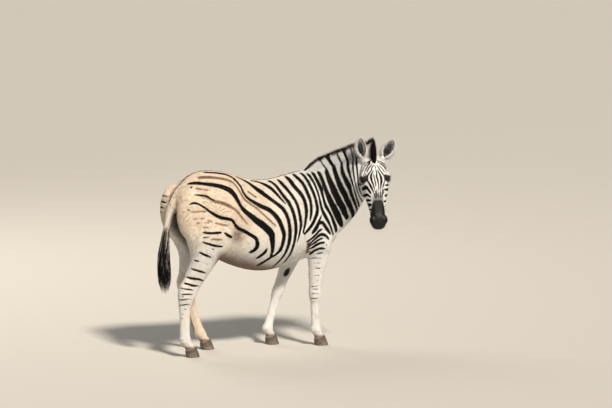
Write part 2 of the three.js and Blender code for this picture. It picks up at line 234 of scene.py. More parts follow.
def treeOf(mesh):
    polygons = [tuple(p.vertices) for p in mesh.polygons]
    return BVHTree.FromPolygons(coordsOf(mesh).tolist(), polygons)


view = {"aim": (0.162, -0.198, 1.091), "azimuth": -27.0, "above": 7.37, "distance": 18.0, "lens": 145.06}
studio = {
    "floor": "#c6c3bb",
    "floorHalf": 160,
    "sky": "#dfe6f0",
    "skyPower": 0.17,
    # the key is a very large and distant softbox, so it lights the whole floor evenly
    "key": {"from": (0.12, -1.00, 1.10), "wide": 9, "power": 4.5, "tint": "#fff4e6"},
    "lampsAim": (0, 0, 0.8),
    # place, size, watts, colour: a fill at the left, and one over the back
    "lamps": [
        ((-6.5, -4.5, 3.6), 4.5, 12, "#dbe6f7"),
        ((-2.0, 6.0, 6.0), 4.0, 230, "#fff8ee"),
    ],
}


def placeCamera():
    turn, lift = math.radians(view["azimuth"]), math.radians(view["above"])
    way = Vector((math.sin(turn) * math.cos(lift), -math.cos(turn) * math.cos(lift), math.sin(lift)))
    camera = bpy.data.objects.new("camera", bpy.data.cameras.new("camera"))
    camera.data.lens = view["lens"]
    camera.data.clip_end = 400
    camera.location = Vector(view["aim"]) + way * view["distance"]
    camera.rotation_euler = (math.pi / 2 - lift, 0, turn)
    bpy.context.scene.collection.objects.link(camera)
    bpy.context.scene.camera = camera


def addNode(tree, kind, inputs=None, **settings):  # adds a node with its settings and links
    made = tree.nodes.new(kind)
    for name, value in settings.items():
        setattr(made, name, value)
    for name, value in (inputs or {}).items():
        if isinstance(value, bpy.types.NodeSocket):
            tree.links.new(value, made.inputs[name])
        else:
            made.inputs[name].default_value = value
    return made


def buildStudio():
    half = studio["floorHalf"]
    corners = [(-half, -half, 0), (half, -half, 0), (half, half, 0), (-half, half, 0)]
    mesh = newMesh("floor", corners, [(0, 1, 2, 3)])
    floorPaint = bpy.data.materials.new("studioFloorPaint")
    floorPaint.use_nodes = True
    shader = floorPaint.node_tree.nodes["Principled BSDF"]
    shader.inputs["Base Color"].default_value = linear(studio["floor"])
    shader.inputs["Roughness"].default_value = 0.85
    floor = newObject("floor", mesh, floorPaint)
    floor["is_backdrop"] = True
    world = bpy.data.worlds.new("studioSky")
    world.use_nodes = True
    world.node_tree.nodes["Background"].inputs["Color"].default_value = linear(studio["sky"])
    world.node_tree.nodes["Background"].inputs["Strength"].default_value = studio["skyPower"]
    bpy.context.scene.world = world
    key = studio["key"]
    sun = bpy.data.lights.new("softboxKey", "SUN")
    sun.angle = math.radians(key["wide"])
    sun.energy = key["power"]
    sun.color = linear(key["tint"])[:3]
    holder = bpy.data.objects.new("softboxKey", sun)
    holder.rotation_euler = Vector(key["from"]).to_track_quat("Z", "Y").to_euler()
    bpy.context.scene.collection.objects.link(holder)
    for n, (place, width, watts, tint) in enumerate(studio["lamps"]):
        lamp = bpy.data.lights.new(f"softbox{n}", "AREA")
        lamp.size = width
        lamp.energy = watts
        lamp.color = linear(tint)[:3]
        holder = bpy.data.objects.new(f"softbox{n}", lamp)
        holder.location = place
        turned = (Vector(studio["lampsAim"]) - Vector(place)).to_track_quat("-Z", "Y")
        holder.rotation_euler = turned.to_euler()
        bpy.context.scene.collection.objects.link(holder)


placeCamera()
buildStudio()
print("camera and studio ready")

# Sections of the body, in millimetres.
coat = {"body": 4.0, "neck": 4.0, "head": 2.2, "leg": 3.0, "tail": 3.0}  # depth of the coat over the skin
trunk = {
    "powers": (1.95, 2.15),
    "sections": [  # along, top, bottom, height of the widest place, half width
        (-668, 1165, 1080, 1122, 42), (-640, 1226, 990, 1110, 122), (-580, 1290, 900, 1090, 186),
        (-500, 1331, 820, 1075, 226), (-410, 1344, 742, 1060, 250), (-300, 1331, 674, 1000, 262),
        (-190, 1300, 624, 930, 270), (-80, 1267, 590, 890, 281), (30, 1252, 578, 875, 284),
        (140, 1262, 590, 885, 276), (250, 1284, 615, 910, 264), (350, 1300, 638, 930, 240),
        (440, 1284, 660, 925, 216), (530, 1190, 694, 920, 184), (600, 1080, 744, 905, 136),
        (648, 980, 812, 890, 64),
    ],
}
buttock = {"at": (-597, 150, 1050), "half": (108, 76, 189)}
neck = {
    "stations": [
        station([370, 0, 1000], (0, 30), (176, 236, 280)),
        station([480, -8, 1072], (4, 36), (152, 232, 312)),
        station([588, -38, 1148], (16, 40), (122, 198, 276)),
        station([655, -88, 1205], (34, 38), (100, 150, 232)),
        station([712, -146, 1260], (54, 30), (90, 120, 210)),
        station([755, -206, 1292], (74, 18), (83, 114, 192)),
        station([782, -254, 1312], (90, 4), (70, 98, 150)),
    ],
    "steps": 24,
}
head = {
    "at": (829, -264, 1376), "heading": 108.5, "pitch": -68, "lean": 1.6,
    "powers": (2.5, 2),
    "sections": [  # along from the poll, half width, up to the face, down to the jaw
        (-34, 50, 26, 34), (0, 78, 46, 70), (56, 98, 66, 112), (110, 104, 77, 142), (164, 105, 78, 150),
        (228, 92, 72, 140), (292, 76, 62, 114), (356, 62, 53, 84), (408, 57, 48, 62), (450, 59, 46, 58),
        (486, 54, 36, 54), (510, 38, 20, 42), (518, 18, 6, 22),
    ],
    "mounds": [  # cheek, brow and nostril on each side, the chin, the ears' roots: place, half sizes
        ((190, 52, -62), (78, 32, 80)), ((136, 84, 46), (44, 26, 24)), ((452, 38, 12), (40, 30, 32)),
        ((474, 0, -44), (34, 34, 24)), ((-4, 66, 24), (30, 22, 26)),
    ],
    "eye": (148, 88, 38), "eyeRadius": 21,
}
legs = {
    "joints": {  # from the body down to the sole
        "foreleg_right": [(345, -60, 1190), (436, -136, 760), (418, -124, 385), (428, -120, 125),
                          (457, -119, 62), (476, -119, 0)],
        "foreleg_left": [(345, 60, 1190), (400, 132, 765), (220, 98, 388), (130, 84, 125),
                         (150, 82, 62), (166, 82, 0)],
        "hindleg_right": [(-420, -70, 1250), (-438, -152, 900), (-640, -127, 490), (-638, -121, 125),
                          (-594, -120, 62), (-576, -120, 0)],
        "hindleg_left": [(-420, 70, 1250), (-450, 160, 900), (-536, 128, 490), (-412, 114, 125),
                         (-372, 112, 62), (-354, 112, 0)],
    },
    "fore": [  # bone, how far down it, front, back, side, forward lean
        (0, 0, 54, 50, 36, 0), (0, 0.3, 108, 92, 78, 0), (0, 0.65, 140, 124, 98, 0),
        (1, 0, 112, 112, 84, 0), (1, 0.2, 95, 82, 63, 0), (1, 0.4, 81, 65, 54, 0),
        (1, 0.6, 65, 58, 47, 0), (1, 0.82, 48, 50, 41, 0), (2, 0, 45, 46, 42, 0),
        (2, 0.16, 40, 42, 37, 0), (2, 0.34, 34, 36, 30, 0), (2, 0.62, 32, 35, 28, 0),
        (2, 0.86, 35, 38, 31, 0), (3, 0, 42, 42, 36, 6), (3, 0.5, 37, 34, 32, 22),
        (3, 0.8, 35, 33, 33, 26), (4, 0, 43, 40, 41, 20),
    ],
    "hind": [
        (0, 0, 90, 110, 60, 0), (0, 0.36, 172, 200, 104, 0), (0, 0.72, 208, 219, 121, 0),
        (1, 0, 214, 206, 117, 0), (1, 0.2, 206, 138, 102, 0), (1, 0.4, 168, 78, 84, 0),
        (1, 0.6, 143, 54, 67, 0), (1, 0.8, 124, 50, 54, 0), (1, 0.93, 112, 58, 48, 0),
        (2, 0.06, 98, 54, 46, 0), (2, 0.2, 68, 50, 42, 0), (2, 0.36, 46, 44, 35, 0),
        (2, 0.58, 37, 39, 31, 0), (2, 0.84, 39, 40, 32, 0), (3, 0, 46, 42, 36, 6),
        (3, 0.5, 38, 35, 32, 24), (3, 0.8, 35, 34, 33, 28), (4, 0, 43, 40, 41, 20),
    ],
}
tail = {
    "stations": [
        station([-570, 0, 1252], (180, -28), (30, 26, 30)),
        station([-617, 0, 1218], (180, -46), (33, 28, 32)),
        station([-656, 0, 1158], (180, -62), (33, 32, 32)),
        station([-687, 0, 1080], (180, -71), (31, 32, 30)),
        station([-710, 0, 1000], (180, -76), (25, 26, 25)),
        station([-726, 0, 920], (180, -81), (22, 24, 24)),  # end of the dock
        station([-739, 0, 830], (180, -86), (32, 35, 34)),
        station([-747, 0, 730], (180, -90), (44, 46, 44)),
        station([-745, 0, 630], (180, -90), (50, 50, 50)),
        station([-742, 0, 530], (180, -90), (46, 46, 46)),
        station([-736, 0, 448], (180, -90), (20, 22, 22)),
    ],
    "dockEnd": 5,
}

headFrame = turnOf(head["heading"], 0, head["lean"]) @ turnOf(0, head["pitch"])
headTurn = np.array(headFrame)


def onHead(points):  # along from the poll, to its left, above its mid-line (mm) to the body's metres
    return (np.asarray(points, float) @ headTurn.T + head["at"]) / 1000


def inHead(points):  # the other way round
    return (np.asarray(points) * 1000 - head["at"]) @ headTurn


eyeCentres = {side: onHead([head["eye"][0], side * head["eye"][1], head["eye"][2]]) for side in (-1, 1)}
low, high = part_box("eye_right")
toRow = Vector((low + high) / 2) - Vector(eyeCentres[-1])

trunkRows = smoothed([
    station([x, 0, widest], (0, 0), (side, top - widest, widest - bottom), trunk["powers"])
    for x, top, bottom, widest, side in trunk["sections"]
], 8)
neckRows = smoothed(neck["stations"], neck["steps"])
headRows = smoothed([
    station([along, 0, 0], (0, 0), (side, up, down), head["powers"])
    for along, side, up, down in head["sections"]
], 6)


def legRows(name, steps=5):
    joints = np.array(legs["joints"][name], float)
    sections = legs["fore" if name.startswith("fore") else "hind"]
    return smoothed([
        station(joints[bone] + (joints[bone + 1] - joints[bone]) * down, (0, lean - 90), (side, front, back))
        for bone, down, front, back, side, lean in sections
    ], steps)


legRowsOf = {name: legRows(name) for name in legs["joints"]}
tailRows = smoothed(tail["stations"], 5)


def headParts(depth):
    rings = loft(headRows, 72, depth)
    parts = [closedLoft(onHead(rings * 1000))]
    for (along, left, above), radii in head["mounds"]:
        for side in (-1, 1) if left else (1,):
            verts, faces = ball(np.zeros(3), np.array(radii) - depth)
            parts.append((onHead(verts + (along, side * left, above)), faces))
    return parts


def bodyParts():
    parts = [closedLoft(loft(trunkRows, 96, coat["body"]))]
    parts.append(closedLoft(loft(neckRows, 80, coat["neck"])))
    parts += headParts(coat["head"])
    for rows in legRowsOf.values():
        rings = loft(rows, 56, coat["leg"])
        stub = rings[-1] + (0.004, 0, -0.014)  # a short way down inside the hoof
        middle = stub.mean(0)
        parts.append(closedLoft(np.concatenate([rings, [middle + (stub - middle) * 0.86]])))
    for side in (-1, 1):
        radii = np.array(buttock["half"]) - coat["body"]
        verts, faces = ball(np.array(buttock["at"]) * (1, side, 1), radii)
        parts.append((verts / 1000, faces))
    dock = tailRows[:tail["dockEnd"] * 5 + 1]
    parts.append(closedLoft(loft(dock, 40, coat["tail"])))
    return parts


# The skin is one closed surface, fine over the head.
skin = {
    "voxel": 0.0087, "headVoxel": 0.0026,
    "rounds": {"body": 14, "haunch": 45, "head": 26, "throat": 10},  # of smoothing
}


def refine(mesh, wanted):  # halves the faces whose middle is wanted
    bm = bmesh.new()
    bm.from_mesh(mesh)
    middles = np.array([f.calc_center_median() for f in bm.faces])
    chosen = wanted(middles)
    edges = {e for f, yes in zip(bm.faces, chosen) if yes for e in f.edges}
    bmesh.ops.subdivide_edges(bm, edges=list(edges), cuts=1, use_grid_fill=True)
    bm.to_mesh(mesh)
    bm.free()
    mesh.update()


def headWeight(points, first=0.0, last=40.0):  # 0 on the neck and body, 1 on the head
    at = inHead(points)
    beside = (abs(at[:, 1]) < 150) & (at[:, 2] < 140) & (at[:, 0] < 580)
    reach = at[:, 0] - 0.25 * np.minimum(at[:, 2] + 60, 0)
    return smoothstep(first, last, reach) * smoothstep(-215, -165, at[:, 2]) * beside


def nearHead(middles):
    at = inHead(middles)
    under = at[:, 2] > np.minimum(-120 + 0.2 * at[:, 0], -70)
    beside = (abs(at[:, 1]) < 140) & (at[:, 2] < 125)
    return (at[:, 0] > -30) & (at[:, 0] < 560) & beside & under


def onFace(middles):
    at = inHead(middles)
    eye = np.linalg.norm((at - head["eye"]) * (1, 0, 1), axis=1) < 44
    eye &= abs(at[:, 1]) > 50
    return nearHead(middles) & (eye | (at[:, 0] > 432))


def buildSkin():
    rounds = skin["rounds"]
    mesh = remeshed("skinSource", *gather(bodyParts()), skin["voxel"])
    points, edges = coordsOf(mesh), edgesOf(mesh)
    points = relaxed(points, edges, 1.0, rounds["body"], 0.51)
    x, y, z = points.T
    haunch = smoothstep(-0.40, -0.52, x) * smoothstep(0.98, 1.10, z) * smoothstep(1.36, 1.28, z)
    haunch = haunch * smoothstep(0.03, 0.07, abs(y))
    moveTo(mesh, relaxed(points, edges, haunch, rounds["haunch"], 0.5))
    fine = remeshed("headSource", *gather(headParts(coat["head"])), skin["headVoxel"])
    moveTo(fine, relaxed(coordsOf(fine), edgesOf(fine), 1.0, rounds["head"], 0.5))
    target = treeOf(fine)
    refine(mesh, nearHead)
    refine(mesh, onFace)
    points = coordsOf(mesh)
    weight = headWeight(points)
    near = np.nonzero(weight > 0)[0]
    for i in near:
        place, _, _, gap = target.find_nearest(Vector(points[i]))
        points[i] += weight[i] * (1 - smoothstep(0.005, 0.012, gap)) * (np.array(place) - points[i])
    throat = np.exp(-((inHead(points)[:, 0] - 10) / 70) ** 2) * (weight > 0)
    throat = np.clip(throat + 0.25 * (weight > 0), 0, 1)
    points = relaxed(points, edgesOf(mesh), throat, rounds["throat"], 0.5)
    moveTo(mesh, points)
    mesh.name = "skin"
    return mesh


skinMesh = buildSkin()
print("skin joined:", len(skinMesh.vertices), "points")

# Muscles, bones and folds pressed into the skin (mm): place, half sizes, height.
forms = {
    "body": [  # along, out from the middle, up
        ((-285, 225, 1215), (45, 70, 40), 9),  # point of the hip
        ((-185, 255, 1125), (62, 90, 95), -13),  # hollow of the flank
        ((-660, 120, 1150), (30, 40, 40), 5),  # pin bone
        ((-520, 215, 1020), (46, 70, 170), 6),
        ((-590, 165, 960), (20, 60, 150), -7),  # between the two muscles of the thigh
        ((-330, 215, 805), (60, 70, 60), 9),  # stifle
        ((-215, 215, 770), (42, 70, 60), 8),  # fold of the flank
        ((345, 205, 885), (72, 70, 75), 9),  # upper arm
        ((300, 190, 765), (30, 50, 28), 9),  # elbow
        ((232, 250, 1000), (26, 70, 170), -8),  # behind the shoulder blade
        ((405, 185, 1130), (26, 60, 110), -4),
        ((475, 165, 965), (48, 60, 48), 8),  # point of the shoulder
        ((615, 75, 880), (42, 36, 62), 9),  # breast
        ((645, 0, 880), (46, 15, 92), -10),
        ((-540, 0, 1320), (70, 12, 30), 3),  # spine over the croup
    ],
    "head": [  # along, out from the middle, above
        ((235, 84, 4), (62, 14, 9), 4.5),  # crest of the cheek bone
        ((94, 74, 62), (26, 24, 20), -5),  # hollow over the eye
        ((192, 86, 30), (20, 18, 16), -4),  # tear groove
        ((268, 72, -66), (17, 30, 56), -4.5),  # front edge of the jaw muscle
        ((335, 27, 46), (72, 9, 14), 2.4),  # edges of the nose bones
        ((404, 52, 6), (34, 16, 16), -4.5),  # behind the nostril
        ((502, 24, -2), (16, 18, 13), 3),  # pads of the upper lip
        ((505, 0, 8), (20, 5, 16), -2),  # cleft of the upper lip
        ((492, 0, -52), (9, 30, 8), -3),
        ((300, 0, -118), (90, 22, 40), -10),  # between the jaws
        ((150, 60, -120), (40, 40, 40), 3),  # angle of the jaw
    ],
    "cleft": {"deep": 62, "half": 40, "low": 720, "high": 1150},
    "nostril": {"at": (463, 47, 20), "long": (-0.75, -0.05, 0.66), "out": (0.30, 0.86, 0.40),
                "half": (17, 8), "deep": 13, "rim": 3.2},
    "mouth": {
        "line": [(430, 466, 492, 511, 524), (-36, -24, -17, -12, -9)],  # along, above
        "deep": 5, "half": 2.8, "lip": 1.8, "end": 560,
    },
    "lids": {"half": (18.5, 14.5, 11.5), "thick": 2.6, "out": (0.28, 0.93, 0.22)},
}


def mounded(points, normals, frameOf, table):  # pushes each place out or in along the surface
    at = frameOf(points)
    for (along, out, up), half, height in table:
        for side in (-1, 1) if out else (1,):
            q = (at - (along, side * out, up)) / half
            points = points + normals * (height / 1000 * np.exp(-(q ** 2).sum(1)))[:, None]
    return points


def unit(vector):
    vector = np.asarray(vector, float)
    return vector / np.linalg.norm(vector, axis=-1, keepdims=True)


def shapeMouth(at, normals):
    lips = forms["mouth"]
    along, above = lips["line"]
    away = at[:, 2] - np.interp(at[:, 0], along, above)
    rims = lips["lip"] * np.exp(-((abs(away) - 8) / 5) ** 2)
    groove = rims - lips["deep"] * np.exp(-(away / lips["half"]) ** 2)
    return at + normals * (groove * smoothstep(along[0] - 6, along[0] + 8, at[:, 0]))[:, None]


def shapeNostril(at, side):
    form, mirror = forms["nostril"], np.array((1, side, 1))
    long, out = unit(np.array(form["long"]) * mirror), unit(np.array(form["out"]) * mirror)
    across = np.cross(out, long)
    d = at - np.array(form["at"]) * mirror
    bent = d @ across * side - 5 * np.cos(np.clip(d @ long / 20, -1.5, 1.5))  # the opening is a comma
    q = np.sqrt((d @ long / form["half"][0]) ** 2 + (bent / form["half"][1]) ** 2)
    near = (np.linalg.norm(d, axis=1) < 60) & (d @ out > -26)
    push = form["rim"] * np.exp(-((q - 1.5) / 0.42) ** 2) - form["deep"] * (1 - smoothstep(0.45, 1.1, q))
    return at + out * (push * near)[:, None]


def eyeAxes(side):  # out of the eye, towards the nose, and up the lid, in the head's own directions
    out = unit(np.array(forms["lids"]["out"]) * (1, side, 1))
    ahead = unit(np.array((1.0, 0, -0.12)) - out * (out @ (1.0, 0, -0.12)))
    up = np.cross(out, ahead) * side
    return out, ahead, up


def openingOf(u, v):  # 1 on the edge of the almond opening between the lids
    long, upper, lower = forms["lids"]["half"]
    v = v + 0.14 * u
    return np.sqrt((u / long) ** 2 + (v / np.where(v > 0, upper, lower)) ** 2)


def shapeLids(at, side):
    cover = head["eyeRadius"] + forms["lids"]["thick"]
    out, ahead, up = eyeAxes(side)
    d = at - np.array(head["eye"]) * (1, side, 1)
    u, v, high = d @ ahead, d @ up, d @ out
    away = np.hypot(u, v)
    dome = np.sqrt(np.clip(cover ** 2 - away ** 2, 64, None))
    q = openingOf(u, v)
    lid = dome + 1.4 * np.exp(-((q - 1.2) / 0.2) ** 2) - 1.8 * np.exp(-((q - 1.62) / 0.14) ** 2) * (v > -4)
    shaped = high + (1 - smoothstep(1.15, 2.1, q)) * (lid - high)
    shaped = shaped + (1 - smoothstep(0.93, 1.04, q)) * (dome - 7.5 - shaped)
    near = (high > 0) & (away < 60)
    return at + out * ((shaped - high) * near)[:, None]


def shapeCleft(points, normals):  # the deep groove under the tail, between the thighs
    form = forms["cleft"]
    x, y, z = points.T * 1000
    tailX = np.interp(z, tailRows[::-1, 2], tailRows[::-1, 0])
    clear = smoothstep(34, 52, np.hypot(x - tailX, y)) * smoothstep(0.1, -0.3, normals[:, 0])
    high = smoothstep(form["low"], form["low"] + 60, z) * smoothstep(form["high"], form["high"] - 60, z)
    push = form["deep"] / 1000 * np.exp(-(y / form["half"]) ** 2) * high * clear * (x < -420)
    return points + push[:, None] * (1, 0, 0)


def shapeSkin(mesh):
    points = coordsOf(mesh)
    points = mounded(points, normalsOf(mesh), lambda p: p * 1000, forms["body"])
    points = shapeCleft(points, normalsOf(mesh))
    heads = headWeight(points) > 0
    points[heads] = mounded(points, normalsOf(mesh), inHead, forms["head"])[heads]
    moveTo(mesh, points)
    normals = normalsOf(mesh)[heads] @ headTurn
    at = inHead(points[heads])
    at = shapeMouth(at, normals)
    for side in (-1, 1):
        at = shapeNostril(at, side)
        at = shapeLids(at, side)
    points[heads] = onHead(at)
    moveTo(mesh, points)


def shapeLegs(mesh):  # knees, hocks, tendons and fetlocks on each leg
    points, normals = coordsOf(mesh), normalsOf(mesh)
    for name, joints in legs["joints"].items():
        centre = legRowsOf[name][::-1]
        z = points[:, 2] * 1000
        middle = np.stack([np.interp(z, centre[:, 2], centre[:, k]) for k in (0, 1)], 1)
        away = points[:, :2] * 1000 - middle
        near = (np.linalg.norm(away, axis=1) < 110) & (z < 600) & (z > 60)
        angle = np.degrees(np.arctan2(abs(away[:, 1]), away[:, 0]))  # 0 in front, 180 behind
        joint, fetlock = joints[2][2], joints[3][2]
        shank = smoothstep(fetlock + 30, fetlock + 70, z) * (1 - smoothstep(joint - 90, joint - 50, z))
        push = -3.0 * shank * np.exp(-((angle - 128) / 20) ** 2)  # between cannon bone and tendon
        push += 1.6 * shank * np.exp(-((angle - 175) / 22) ** 2)
        push += 3.0 * np.exp(-((z - fetlock) / 22) ** 2) * np.exp(-((angle - 165) / 40) ** 2)
        if name.startswith("fore"):
            push += 4.0 * np.exp(-((z - joint) / 34) ** 2) * np.exp(-(angle / 60) ** 2)
            push -= 2.5 * np.exp(-((z - joint + 62) / 16) ** 2)
            push += 4.0 * np.exp(-((z - joint - 22) / 20) ** 2) * np.exp(-((angle - 178) / 30) ** 2)
        else:
            push -= 9.0 * np.exp(-((z - joint - 120) / 70) ** 2) * np.exp(-((angle - 122) / 24) ** 2)
            push += 3.0 * np.exp(-((z - joint + 10) / 30) ** 2) * np.exp(-((angle - 80) / 40) ** 2)
        points = points + normals * (push * near / 1000)[:, None]
    moveTo(mesh, points)


shapeLegs(skinMesh)
shapeSkin(skinMesh)
print("skin shaped")

